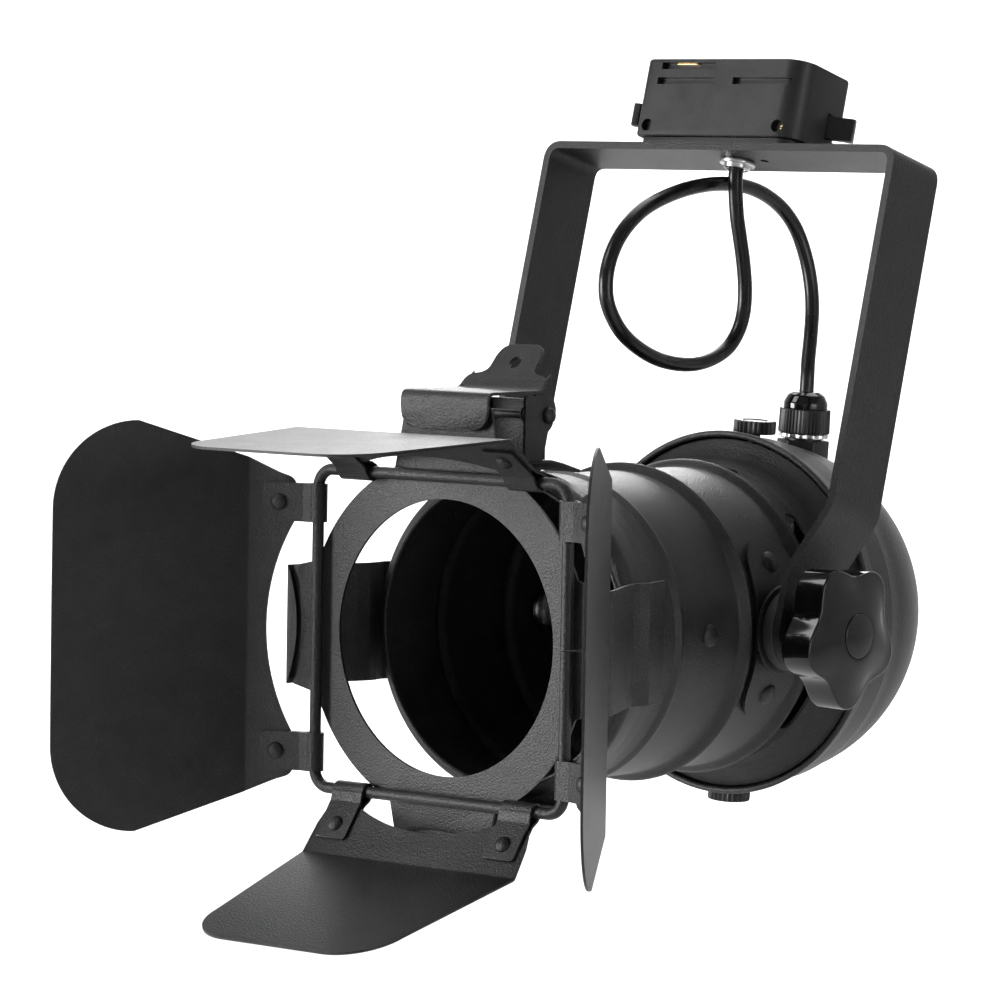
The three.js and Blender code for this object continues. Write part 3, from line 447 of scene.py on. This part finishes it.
def smooth_route(points, between=6):
    """A smooth line through all the points."""
    points = [Vector(p) for p in points]
    ends = [points[0] * 2 - points[1], *points, points[-1] * 2 - points[-2]]
    line = []
    for a, b, c, d in zip(ends, ends[1:], ends[2:], ends[3:]):
        for k in range(between):
            t = k / between
            line.append(0.5 * (
                b * 2 + (c - a) * t + (a * 2 - b * 5 + c * 4 - d) * t ** 2
                + (b * 3 - a - c * 3 + d) * t ** 3
            ))
    return [*line, points[-1]]


def cord():
    line = [p - ORIGIN / 1000 for p in smooth_route(CORD_ROUTE)]
    mesh = tube([p * 1000 for p in line], CORD_R * 1000, CORD_SIDES)
    made = show("cord", mesh, Matrix.Identity(4), None, SHEATH, ["power_cord"], 60)
    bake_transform(made)
    # How much each ring of the cord would follow the yoke or the can, by how far along the run it
    # lies; these shares are worked out but not put to use.
    rings = len(line)
    shares = []
    for i in range(rings):
        t = min(max((i / (rings - 1) - CORD_FIRST) / CORD_SPAN, 0), 1)
        shares += [t * t * (3 - 2 * t)] * CORD_SIDES


# ---------------------------------------------------------------- yoke and adapter
def yoke():
    half, top = YOKE_HALF - YOKE_SHEET / 2, YOKE_TOP - YOKE_SHEET / 2
    end = -YOKE_WIDTH / 2
    right = [(half, top), (half, 47), (EAR_MID, 20), (EAR_MID, end)]
    left = [(-x, z) for x, z in reversed(right)]
    path = fillet([*left, *right], [0, 9, 14, 6, 6, 14, 9, 0], 8)
    long = length_of(path)
    round_end = YOKE_WIDTH / 2
    outline = [
        *arc(long - round_end, 0, round_end, -90, 90, 28),
        *arc(round_end, 0, round_end, 90, 270, 28),
    ]
    flat = carved(
        plate(outline, -YOKE_SHEET / 2, YOKE_SHEET / 2, 0.35),
        moved(rod(1.8, -5, 5), shift(x=long / 2 + 13)),
        moved(rod(5.0, -5, 5), shift(x=long / 2)),
    )
    show("yoke_look", moved(bend(flat, path), SWAP_XY), YOKE, "yoke", POWDER, ["yoke"])


def adapter_plan(inset):
    x, y = 38.5 - inset, 16.5 - inset
    small, big = max(2.8 - inset, 0.6), max(9 - inset, 1)
    return [(px + ADAPTER_X, py) for px, py in [
        *arc(x - big, -y + big, big, -90, 0, 12), *arc(x - small, y - small, small, 0, 90, 5),
        *arc(-x + small, y - small, small, 90, 180, 5),
        *arc(-x + small, -y + small, small, 180, 270, 5),
    ]]


FOOT_TOP = YOKE_TOP + 0.3 + 2.2
LEVER_HEIGHT = 200.5
ROTORS = {"contact_rotor": (-20.0, 197, (212.6, 218.7)), "lock_rotor": (17.0, 24, (212.6,))}


def slot_knife(x, z, reach, high=1.4):
    return moved(plate([(-reach, -20), (reach, -20), (reach, -11), (-reach, -11)], -high, high, 0),
                 shift(x, 0, z))


def lever_knife(x, start, end):
    outline = [(x, 0), *arc(x, 0, 60, start, end, 10)]
    return plate(outline, LEVER_HEIGHT - 5.2, LEVER_HEIGHT + 5.2, 0)


def adapter():
    screws = {"adapter_screw_left": ADAPTER_X - 33, "adapter_screw_right": ADAPTER_X + 30.5}
    shell = plate(adapter_plan(0), FOOT_TOP + 0.3, ADAPTER_TOP, 0.7)
    hollow = plate(adapter_plan(2.4), FOOT_TOP - 5, ADAPTER_TOP - 1, 0)
    housing = carved(
        shell, hollow, slot_knife(-20, 212.6, 14), slot_knife(-20, 218.7, 13),
        slot_knife(17, 212.6, 14), lever_knife(-20, 96, 208), lever_knife(17, 14, 126),
        *[moved(rod(2.5, -8, 8), ALONG_Y, shift(x, -16.5, 194.5)) for x in screws.values()],
    )
    show("adapter_housing_look", housing, YOKE, "adapter", MOULDED, ["adapter_housing"])
    foot = plate(adapter_plan(2.7), YOKE_TOP + 0.3, FOOT_TOP, 0.3)
    show("adapter_foot_look", foot, YOKE, "adapter", MOULDED, ["adapter_foot"])
    for node, x in screws.items():
        head = fillet([(0, -5), (1.6, -5), (2.1, 0), (2.1, 0.6), (0, 1)], [0, 0, 0, 0.4, 0], 3)
        cross = [plate([(-1.2, -0.22), (1.2, -0.22), (1.2, 0.22), (-1.2, 0.22)], 0.1, 3, 0),
                 plate([(-0.22, -1.2), (0.22, -1.2), (0.22, 1.2), (-0.22, 1.2)], 0.1, 3, 0)]
        screw = carved(carved(revolve(head, 32), cross[0]), cross[1])
        place = YOKE @ shift(x, -13.1, 194.5) @ Matrix.Rotation(math.pi / 2, 4, "X")
        show(f"{node}_look", screw, place, "adapter", BRASS, [node])
    for node, (x, turn, slots) in ROTORS.items():
        lever = plate(fillet([(2, -1.6), (30, -1.6), (30, 2.4), (27, 2.4), (27, 1.6), (2, 1.6)],
                             [0, 0.8, 0.5, 0.5, 0.8, 0], 4, closed=True),
                      LEVER_HEIGHT - 4.5, LEVER_HEIGHT + 4.5, 0.5)
        discs = [moved(rod(12.6, -0.5, 0.5, 64, 0.2), shift(z=z)) for z in slots]
        whole = joined(
            rod(5, FOOT_TOP + 0.3, max(slots), 32),
            moved(lever, Matrix.Rotation(math.radians(turn), 4, "Z")), *discs,
        )
        show(f"{node}_look", whole, YOKE @ shift(x), node, MOULDED, [node])
    blade = plate(fillet([(-27, -15.4), (-16, -15.4), (-16, -7), (-27, -7)], 0.8, 3, closed=True),
                  219.6, 220.0, 0.1)
    show("contact_upper_look", blade, YOKE, "contact_rotor", BRASS, ["contact_upper"])
    web = YOKE_TOP - YOKE_SHEET
    nipple = joined(
        ring(3.3, 7.2, web - 1.9, web - 0.1, 64, 0.6),
        ring(3.3, 5.2, web - 3.6, FOOT_TOP + 2.4, 48, 0.5),
        ring(3.3, 8, FOOT_TOP + 0.3, FOOT_TOP + 2.6, 6, 0.3),
    )
    show("cord_nipple_look", nipple, YOKE, "adapter", ZINC, ["cord_nipple"])


# ---------------------------------------------------------------- can
def bead(y, inset):
    """A rolled bead's profile, (radius, y), about the given y."""
    half, rise, steps = 4.6, 3.1, 10
    rows = [-half + 2 * half * i / steps for i in range(steps + 1)]
    return [(BODY_R - inset + rise * math.cos(math.pi * d / 2 / half) ** 2, y + d) for d in rows]


def can_profile(inset):
    nose = fillet([(57.6, 33.1), (60.6, 34), (62.5, 37.4), (61.6, 42.8)], [0, 3, 4, 0], 5)
    last = len(nose) - 2  # the nose's last point is the front's first
    nose = [(r - inset * i / last, y + 0.9 * inset * (1 - i / last))
            for i, (r, y) in enumerate(nose)]
    front = [(61.6, 42.8), (60.2, 48.5), (59.2, 56), (58.9, 63.2), (60.1, 66.4),
             (BODY_R, 69.6), (BODY_R, 90)]
    front = [(r - inset, y) for r, y in fillet(front, [0, 6, 6, 2, 1.4, 1.6, 0], 4)]
    front = [*nose[:-1], *front]
    flare = fillet([(BODY_R, 156), (BODY_R, 161.5), (61.9, 166.9), (65, 169.6),
                    (FLARE_R, FLARE_END)], [0, 6, 6, 6, 0], 4)
    last = len(flare) - 1
    lean = [inset * (i / last) * (i / last) for i in range(len(flare))]
    flare = [(r - inset + 0.45 * d, y + 0.85 * d) for (r, y), d in zip(flare, lean)]
    return [*front, *bead(107.6, inset), *bead(147.2, inset), *flare]


VENTS, VENT_Y, VENT_HALF = 6, 157.3, 3.8


def can():
    shell = revolve([*can_profile(0), *reversed(can_profile(SHELL))], 144, closed=True)
    knives = []
    half = BODY_R * math.sin(math.radians(15)) - 3
    slot = [*arc(half, 0, VENT_HALF, -90, 90, 12), *arc(-half, 0, VENT_HALF, 90, 270, 12)]
    for i in range(VENTS):
        turn = Matrix.Rotation(2 * math.pi / VENTS * i, 4, "Y")
        knives.append(moved(plate(slot, 45, 70, 0), shift(0, VENT_Y, 0), turn))
    whole = carved(moved(shell, ALONG_Y), *knives)
    rivets = [moved(dome(4.4, 1.8), ALONG_X, shift(BODY_R - 0.1, 85.5), side)
              for side in (Matrix.Identity(4), MIRROR_X)]
    rim = revolve([(57.6 + 0.9 * math.cos(a), 33.7 + 0.9 * math.sin(a))
                   for a in (math.pi / 6 * i for i in range(12))], 144, closed=True)
    show("can_look", joined(whole, moved(rim, ALONG_Y), *rivets), CAN, "can", POWDER,
         ["can_shell"])


def rear_cap():
    def profile(inset, rows):
        angles = [math.radians(5 + 85 * i / rows) for i in range(rows)]
        curve = [((DOME_R - inset) * math.cos(a), DOME_Y + (DOME_DEPTH - inset) * math.sin(a))
                 for a in angles]
        skirt = fillet([(CAP_RIM_R - inset, CAP_RIM_Y), (70.3 - inset, 178), (69 - inset, 190),
                        curve[0]], [0, 4, 3, 0], 4)
        return [*skirt[:-1], *curve, (0, DOME_Y + DOME_DEPTH - inset)]

    shell = revolve([*reversed(profile(SHELL, 20)), *profile(0, 26)], 144)
    roll = revolve([(CAP_RIM_R - 1.1 + 1.25 * math.cos(a), CAP_RIM_Y + 1.25 * math.sin(a))
                    for a in (math.pi / 8 * i for i in range(16))], 144, closed=True)
    show("rear_cap_look", moved(joined(shell, roll), ALONG_Y), CAP, "can", POWDER, ["rear_cap"])


def knurled(radius, depth, teeth):
    """A radius that ripples round the outside of a grip."""
    def wave(angle, r, _z):
        share = max((r - radius * 0.9) / (radius * 0.1), 0)
        return r - depth * share * (0.5 - 0.5 * math.cos(teeth * angle))
    return wave


def thumb_screws():
    profile = fillet([(0, 70.9), (8.5, 70.9), (8.5, 76.2), (0, 76.2)], [0, 0.6, 0.9, 0], 3)
    for node, turn in (("thumb_screw_top", 0.0), ("thumb_screw_bottom", math.pi)):
        head = revolve(profile, 26 * 8, wave=knurled(8.5, 0.7, 26))
        dish = rod(5.2, 75.8, 78, 48, 0)
        place = CAP @ shift(y=THUMB_Y) @ Matrix.Rotation(turn, 4, "X")
        whole = joined(carved(head, dish), rod(2.5, 61.5, 72))
        show(f"{node}_look", whole, place, node, MOULDED, [node])


def gland():
    place = CAP @ shift(y=GLAND_Y)
    hexagon = [(10.6 * math.cos(math.radians(a)), 10.6 * math.sin(math.radians(a)))
               for a in range(30, 390, 60)]
    base = joined(plate(fillet(hexagon, 0.8, 3, closed=True), 56, 67.4, 0.5), rod(7.5, 48, 68.6))
    show("gland_base_look", base, place, "can", MOULDED, ["gland_base"])
    star = revolve(fillet([(3.4, 68.3), (9.9, 68.3), (9.9, 70), (3.4, 70)], 0.4, 3, closed=True),
                   144, closed=True, wave=knurled(9.9, 0.7, 12))
    show("gland_ring_look", star, place, "can", ZINC, ["gland_ring"])
    grip = revolve(fillet([(3.4, 70.2), (10.4, 70.2), (10.2, 80), (3.4, 80)], 0.5, 3, closed=True),
                   44 * 6, closed=True, wave=knurled(10.3, 0.35, 44))
    show("gland_shell_look", grip, place, "can", MOULDED, ["gland_shell"])
    cap = revolve(fillet([(3.3, 80.1), (8.9, 80.1), (8.9, 82.4), (7.4, 85.4), (5, 86.8),
                          (3.3, 86.9)], [0, 0.3, 2.5, 2.5, 1.5, 0.3], 5, closed=True), 96,
                  closed=True)
    show("gland_dome_look", cap, place, "can", GLOSS, ["gland_dome"])


def lamp_side():
    body = fillet([(0, SEAT_Y - 0.3), (20, SEAT_Y - 0.3), (20, 188), (22, 185), (22, 160),
                   (14.6, 160), (14.6, 192), (0, 192)], [0, 1.5, 1, 1, 1.5, 1, 1, 0], 4)
    show("lamp_holder_look", moved(revolve(body, 96), ALONG_Y), CAP, "can", CERAMIC,
         ["lamp_holder"])
    rows = [163 + 0.6 * i for i in range(46)]
    wall = [(13.7, y) for y in rows]
    thread = revolve([*wall, *[(r + 0.35, y) for r, y in reversed(wall)]], 72, closed=True,
                     wave=lambda a, r, z: r + 0.32 * math.sin(2 * math.pi * z / 3.63 + a) - 0.1)
    show("lamp_shell_look", moved(thread, ALONG_Y), CAP, "can", BRASS, ["lamp_shell"], 60)
    tip = joined(rod(3, 188.5, 189.6, 32), rod(4.5, 189.4, 191.6, 32))
    show("lamp_contact_look", moved(tip, ALONG_Y), CAP, "can", BRASS, ["lamp_contact"])

    arm = [(55.3, 150), (55.3, 162.5), (59.4, 168.9), (66.1, 176.5), (66.1, 190),
           (56, SEAT_Y + 1)]
    path = fillet(mirrored([(y, z) for z, y in arm]), [0, 3, 3, 4, 5, 5, 5, 5, 4, 3, 3, 0], 4)
    long = length_of(path)
    outline = fillet([(0, -9), (long, -9), (long, 9), (0, 9)], 2.5, 4, closed=True)
    strap = bend(plate(outline, -0.7, 0.7), path)
    show("inner_strap_look", strap, CAP, "can", ZINC, ["inner_strap"])
    for node, side in (("holder_screw_top", 11), ("holder_screw_bottom", -11)):
        screw = joined(rod(1.5, 194, 206, 24), moved(dome(3, 1.8, 0.2), shift(z=SEAT_Y + 2.2)))
        show(f"{node}_look", moved(screw, ALONG_Y), CAP @ shift(z=side), "can", ZINC, [node])


# ---------------------------------------------------------------- pivots and knobs
def lobes(angle, radius, _z):
    """Five soft lobes that fade towards the knob's middle."""
    share = min(max((radius - 13) / 11, 0), 1) ** 1.5
    return radius + 2.9 * share * math.cos(5 * (angle - math.radians(140)))


def knob():
    crown = [(r, 97.2 - 80 + math.sqrt(80 * 80 - r * r)) for r in (23.4, 20, 16, 12, 9.5)]
    side = fillet([(11, 71.9), (11, 80.2), (22, 79.8), (25.2, 80.4), (25.3, 93.6), crown[0]],
                  [0, 1, 0, 1.4, 1.3, 0], 6)
    profile = [(4.3, 71.9), *side, *crown[1:], (8.9, 96.6), (8.9, 95.2), (4.3, 95.2)]
    return revolve(profile, 240, closed=True, wave=lobes)


PLATE_SHEET, PLATE_END_R = 1.5, 14.2


def pivots():
    for side, flip in (("right", Matrix.Identity(4)), ("left", MIRROR_X)):
        def on_pivot(mesh):
            return moved(mesh, ALONG_X, flip)
        show(f"pivot_washer_{side}_look", on_pivot(ring(BOLT_BORE, 17.2, 61, 62.4, 96, 0.4)),
             PIVOT, "can", POWDER, [f"pivot_washer_{side}"])
        show(f"pivot_spacer_{side}_look", on_pivot(ring(BOLT_BORE, 15.5, 62.7, 67.7, 96, 0.7)),
             PIVOT, "can", FIBRE, [f"pivot_spacer_{side}"])
        stud = joined(moved(dome(7, 2.6, 1.0), MIRROR_Z, shift(z=54.6)),
                      rod(4, 54, 91))
        show(f"pivot_stud_{side}_look", on_pivot(stud), PIVOT, "can", ZINC,
             [f"pivot_stud_{side}"])
        show(f"tilt_knob_{side}_look", on_pivot(knob()), PIVOT, f"tilt_knob_{side}", GLOSS,
             [f"tilt_knob_{side}"], 40)
        badge = revolve(fillet([(0, 95.4), (8.6, 95.4), (8.6, 97.1), (0, 97.6)],
                               [0, 0.2, 0.6, 0], 4), 72)
        show(f"knob_cap_{side}_look", on_pivot(badge), PIVOT, f"tilt_knob_{side}", GLOSS,
             [f"knob_cap_{side}"])
        middle = BODY_R + 0.3 + PLATE_SHEET / 2
        path = arc(0, 0, middle, -35.2, 35.2, 36)
        long = length_of(path)
        outline = [*arc(long - PLATE_END_R, 0, PLATE_END_R, -90, 90, 20),
                   *arc(PLATE_END_R, 0, PLATE_END_R, 90, 270, 20)]
        sheet = moved(bend(plate(outline, -PLATE_SHEET / 2, PLATE_SHEET / 2), path), SWAP_XY)
        heads = []
        for angle in (25, -25):
            turn = Matrix.Rotation(math.radians(-angle), 4, "Y")
            heads.append(moved(dome(4.3, 1.8), ALONG_X, shift(x=middle + 0.6), turn))
        show(f"pivot_plate_{side}_look", moved(joined(sheet, *heads), flip), PIVOT, "can", POWDER,
             [f"pivot_plate_{side}"])


# ---------------------------------------------------------------- ring plate, clips and latch
TURNS = {"right": 0.0, "top": -math.pi / 2, "left": math.pi, "bottom": math.pi / 2}


def thin(outline):
    return plate(outline, -THIN_SHEET / 2, THIN_SHEET / 2)


def clips():
    path = fillet([(60.9, 53), (63.5, 42.5), (64.5, 39.8), (63.5, 35), (63.4, 31), (65.2, 25.5),
                   (76.2, 3), (76.8, -1.1), (70, -1.1)], [0, 2, 1.5, 2, 3, 5, 2.5, 1.2, 0], 5)
    bent = length_of(path) - 6.8
    tongue = [(bent + 0.3 + 5.1 * math.cos(math.pi / 2 * d / 22.7) ** 0.8, d)
              for d in (-22.6 + 45.2 * i / 20 for i in range(21))]
    outline = [(0, -22.7), *tongue, (0, 22.7)]
    for side in ("right", "left", "bottom"):
        strip = moved(bend(thin(outline), path), STRIP_ON_X)
        place = CAN @ Matrix.Rotation(TURNS[side], 4, "Y")
        show(f"clip_{side}_look", strip, place, "can", POWDER, [f"clip_{side}"])


def ring_plate():
    outline = []
    for end, turn in ((75.6, 0), (86, 90), (75.6, 180), (75.6, 270)):
        taper = (end - 60) * math.tan(math.radians(10))
        tab = [(62.2, -25), (end, -25 + taper), (end, 25 - taper), (62.2, 25)]
        edge = fillet([(62.2, -25), *tab[1:3], (62.2, 25)], [0, 2, 2, 0], 4)
        sweep = math.degrees(math.asin(25 / 67))
        edge += [(x, y) for x, y in arc(0, 0, 67, sweep + 1, 90 - sweep - 1, 20)]
        c, s = math.cos(math.radians(turn)), math.sin(math.radians(turn))
        outline += [(x * c - y * s, x * s + y * c) for x, y in edge]
    sheet = carved(plate(outline, -THIN_SHEET, 0), rod(51.45, -5, 5, 160, 0))
    lie_flat = Matrix.Rotation(math.pi / 2, 4, "X")
    show("ring_plate_look", moved(sheet, lie_flat), CAN, "can", POWDER, ["ring_plate"])


def latch_set():
    path = fillet([(53, 61.1), (42.5, 63.9), (36, 65.2), (20, 65.2)], [0, 2, 4, 0], 4)
    long = length_of(path)
    strip = bend(thin([(0, -20.6), (long, -20.6), (long, 20.6), (0, 20.6)]), path)
    ear = fillet([(20, 65), (20, 89.8), (35.6, 89.8), (38.6, 84), (35.6, 78), (31.4, 74.6),
                  (30.2, 65)], [0, 1.5, 1.5, 6, 6, 4, 0], 6, closed=True)
    ears = [moved(plate(ear, side * 20 - THIN_SHEET / 2, side * 20 + THIN_SHEET / 2), SIDE_ON)
            for side in (1, -1)]
    stop = fillet([(37.8, 64.5), (39, 64.5), (39, 88), (37.8, 88)], 0.3, 2, closed=True)
    stop = moved(plate(stop, -STOP_HALF, STOP_HALF), SIDE_ON)
    show("latch_bracket_look", joined(strip, stop, *ears), CAN, "can", POWDER, ["latch_bracket"])

    path = fillet([(-2, 77.4), (-2, LATCH_TOP), (30, LATCH_TOP), (45.2, 107.6)], [0, 3.2, 5, 0], 6)
    long = length_of(path)
    heel = long - 22.4
    half = [(0, 21), (heel, 20), (heel + 6.5, 19.2), (heel + 8.6, 10.7), (long, 10.7)]
    outline = fillet(mirrored(half), [8, 4, 3.2, 3.2, 6.5, 6.5, 3.2, 3.2, 4, 8], 6, closed=True)
    blank = carved(thin(outline), moved(rod(2.8, -4, 4, 40, 0), shift(heel + 13.2)))
    lug = fillet([(27.5, 90.6), (28.6, 80), (33, 77.4), (37.4, 80), (37, 97.4)],
                 [0, 4, 3.5, 4, 0], 6, closed=True)
    lugs = [moved(plate(lug, side * 18.4 - 0.5, side * 18.4 + 0.5), SIDE_ON) for side in (1, -1)]
    show("latch_look", joined(bend(blank, path), *lugs), CAN, "latch", POWDER, ["latch"])

    at_pin = CAN @ shift(0, LATCH_PIN_Y, LATCH_PIN_Z)
    pin = joined(rod(1.55, -22.8, 22, 28), moved(dome(3.1, 1.7, 0.7), shift(z=21.6)),
                 moved(dome(2.2, 0.8, 0.5), MIRROR_Z, shift(z=-21.6)))
    show("latch_pin_look", moved(pin, ALONG_X), at_pin, "can", POWDER, ["latch_pin"])
    turns = [(2 * math.pi * i / 16, 9.6 + 7.2 * i / 80) for i in range(81)]
    coil = [(x, 2.9 * math.cos(a), 2.9 * math.sin(a)) for a, x in turns]
    show("latch_spring_look", tube(coil, 0.45, 10), at_pin, "can", POWDER, ["latch_spring"])


# ---------------------------------------------------------------- wire square and leaves
def wire_square():
    corners = []
    for turn in range(4):
        start = 90 * turn
        cx = (1, -1, -1, 1)[turn] * (ROD_HALF - 7)
        cz = (1, 1, -1, -1)[turn] * (ROD_HALF - 7)
        corners += arc(cx, cz, 7, start, start + 90, 10)
    path = [(ROD_HALF, 0.25), (ROD_HALF, 2), *corners, (ROD_HALF, -2), (ROD_HALF, -0.25)]
    bar = tube([(x, ROD_Y, z) for x, z in path], ROD_R, 28)
    show("wire_square_look", bar, CAN, "can", POWDER, ["wire_square"], 40)


WIDE = {"fold": 63.5, "strap": 47, "cut": 20.2, "shoulder": 57.5, "side": (77.4, 43.5),
        "tip": 76.6, "corner": 33}
NARROW = {"fold": 51, "strap": 40.4, "cut": 14.2, "shoulder": 49.5, "side": (44.5, 56.5),
          "tip": 77.2, "corner": 20.7}
OPEN = {"top": 35.5, "bottom": 54.5, "left": 68, "right": 70.5}
OUTWARD = {"top": (0, 0, 1), "bottom": (0, 0, -1), "left": (-1, 0, 0), "right": (1, 0, 0)}


def leaf_frame(side):
    """Axes along the rod, outward along the leaf's root, and toward the beam."""
    outward, forward = Vector(OUTWARD[side]), Vector((0, -1, 0))
    angle = math.radians(OPEN[side])
    reach = forward * math.cos(angle) + outward * math.sin(angle)
    inward = forward * math.sin(angle) - outward * math.cos(angle)
    along = reach.cross(inward)
    turn = Matrix((along, reach, inward)).transposed().to_4x4()
    return CAN @ Matrix.Translation(outward * ROD_HALF + Vector((0, ROD_Y, 0))) @ turn


def leaf(kind):
    swing = math.degrees(math.asin((kind["strap"] - 6) / LEAF_CUT_R))
    hollow = arc(kind["cut"] - LEAF_CUT_R, 0, LEAF_CUT_R, 0, swing, 16)
    foot = hollow[-1][0]
    side_x, side_y = kind["side"]
    root = fillet([hollow[-2], hollow[-1], (foot, kind["shoulder"] - 1.5),
                   (15.5, kind["shoulder"] + 0.6), (LEAF_ROOT, kind["fold"])],
                  [0, 3, 5, 4, 0], 5)
    curve = [(LEAF_ROOT + y, x) for x, y in
             arc(side_x - kind["corner"], side_y, kind["corner"], 0, 90, 22)]
    half = [*hollow[:-2], *root, *curve, (LEAF_ROOT + kind["tip"], curve[-1][1] * 0.5)]
    outline = half + [(s, -w) for s, w in reversed(half) if w > 1e-6]
    reach = kind["tip"] + 1
    path = fillet([(0, 0), (LEAF_ROOT, 0), (LEAF_ROOT + reach * math.cos(LEAF_FOLD),
                                            reach * math.sin(LEAF_FOLD))], [0, 2.5, 0], 6)
    return bend(plate(outline, -LEAF_SHEET / 2, LEAF_SHEET / 2, 0.2), path)


def strap():
    """A strap folded round the rod, and the rivet that pins it to the leaf."""
    half_sheet, half_width = STRAP_SHEET / 2, STRAP_WIDTH / 2
    loop, flat = ROD_R + 0.3 + half_sheet, LEAF_SHEET / 2 + 0.3 + half_sheet
    half = [(21.5, flat), (loop + 2.6, flat), (2.2, loop - 0.3)]
    path = fillet([*half, *arc(0, 0, loop, 65, 295, 20), *[(y, -z) for y, z in reversed(half)]],
                  [0, 1.5, 1.0] + [0] * 21 + [1.0, 1.5, 0], 4)
    long = length_of(path)
    outline = fillet([(0, -half_width), (long, -half_width), (long, half_width), (0, half_width)],
                     1.6, 4, closed=True)
    rivet = joined(moved(dome(3.2, 1.9, 0.3), shift(0, 15.3, flat + half_sheet)),
                   moved(ring(1.2, 2.4, -flat - 1.2, -flat - 0.3, 32, 0.25), shift(0, 15.3)),
                   moved(rod(1.5, -flat - 0.9, flat + 0.4, 20), shift(0, 15.3)))
    return joined(bend(plate(outline, -half_sheet, half_sheet, 0.15), path), rivet)


def barn_doors():
    for side in OUTWARD:
        kind = WIDE if side in ("left", "right") else NARROW
        place, body = leaf_frame(side), f"leaf_{side}"
        show(f"leaf_{side}_look", leaf(kind), place, body, POWDER, [f"leaf_{side}"], 30)
        for letter, x in (("a", kind["strap"]), ("b", -kind["strap"])):
            show(f"strap_{side}_{letter}_look", strap(), place @ shift(x), body, POWDER,
                 [f"strap_{side}_{letter}"])


# ---------------------------------------------------------------- studio
# A wide white bowl, in metres: a flat floor, a sweep and a wall, open at the top.
BOWL_FLAT, BOWL_SWEEP, BOWL_HEIGHT, BOWL_SIDES = 3.2, 1.2, 3.4, 96
WORLD_STRENGTH = 0.22
# Name, place and aim from the lamp's middle, size in metres, power in watts.
LIGHTS = (
    ("front", (-1.05, -1.25, 0.1), (0, 0, 0), 0.7, 30),
    ("key", (-0.8, -0.9, 1.4), (0, 0, 0), 0.7, 9),
    ("side", (1.9, -0.2, 0.2), (0, 0, 0), 1.0, 9),
    ("top", (-0.2, 0.9, 1.5), (0, 0, 0), 1.0, 9),
    ("back", (-1.1, 1.5, 0.8), (0, 0, 0), 0.5, 9),
    ("wall", (-1.5, 1.8, 1.2), (-2.6, 3.1, 0), 1.4, 80),
    ("ground", (-1.1, 1.3, 1.5), (-1.3, 1.5, -0.4), 1.2, 14),
)


def studio():
    middle = (cad_box[0] + cad_box[1]) / 2
    floor_z = cad_box[0].z - FLOOR_DROP
    wall_r = BOWL_FLAT + BOWL_SWEEP
    profile = [(BOWL_FLAT, 0), *arc(BOWL_FLAT, BOWL_SWEEP, BOWL_SWEEP, -90, 0, 24)[1:],
               (wall_r, BOWL_HEIGHT)]
    turns = [2 * math.pi * k / BOWL_SIDES for k in range(BOWL_SIDES)]
    mesh = bmesh.new()
    rows = [[mesh.verts.new((middle.x + r * math.cos(a), middle.y + r * math.sin(a), floor_z + z))
             for a in turns] for r, z in profile]
    mesh.faces.new(rows[0])
    for a, b in zip(rows, rows[1:]):
        for k in range(BOWL_SIDES):
            mesh.faces.new((a[k], a[k - 1], b[k - 1], b[k]))
    bmesh.ops.recalc_face_normals(mesh, faces=mesh.faces)
    data = bpy.data.meshes.new("floor")
    mesh.to_mesh(data)
    mesh.free()
    data.shade_smooth()
    data.materials.append(material("paper", (0.8, 0.8, 0.8), 0.85, grain=300, shade=0.02))
    floor = bpy.data.objects.new("floor", data)
    bpy.context.scene.collection.objects.link(floor)

    world = bpy.data.worlds.new("studio")
    world.use_nodes = True
    sky = world.node_tree.nodes["Background"].inputs
    sky["Color"].default_value, sky["Strength"].default_value = (1, 1, 1, 1), WORLD_STRENGTH
    bpy.context.scene.world = world

    for name, offset, aim, size, power in LIGHTS:
        data = bpy.data.lights.new(name, "AREA")
        data.energy, data.size = power, size
        light = bpy.data.objects.new(name, data)
        light.location = middle + Vector(offset)
        looking = Vector(aim) - Vector(offset)
        light.rotation_euler = looking.to_track_quat("-Z", "Y").to_euler()
        bpy.context.scene.collection.objects.link(light)
    bpy.context.scene.view_settings.view_transform = "Standard"


for build in (camera, cord, yoke, adapter, can, rear_cap, thumb_screws, gland, lamp_side, pivots,
              clips, ring_plate, latch_set, wire_square, barn_doors, studio):
    build()
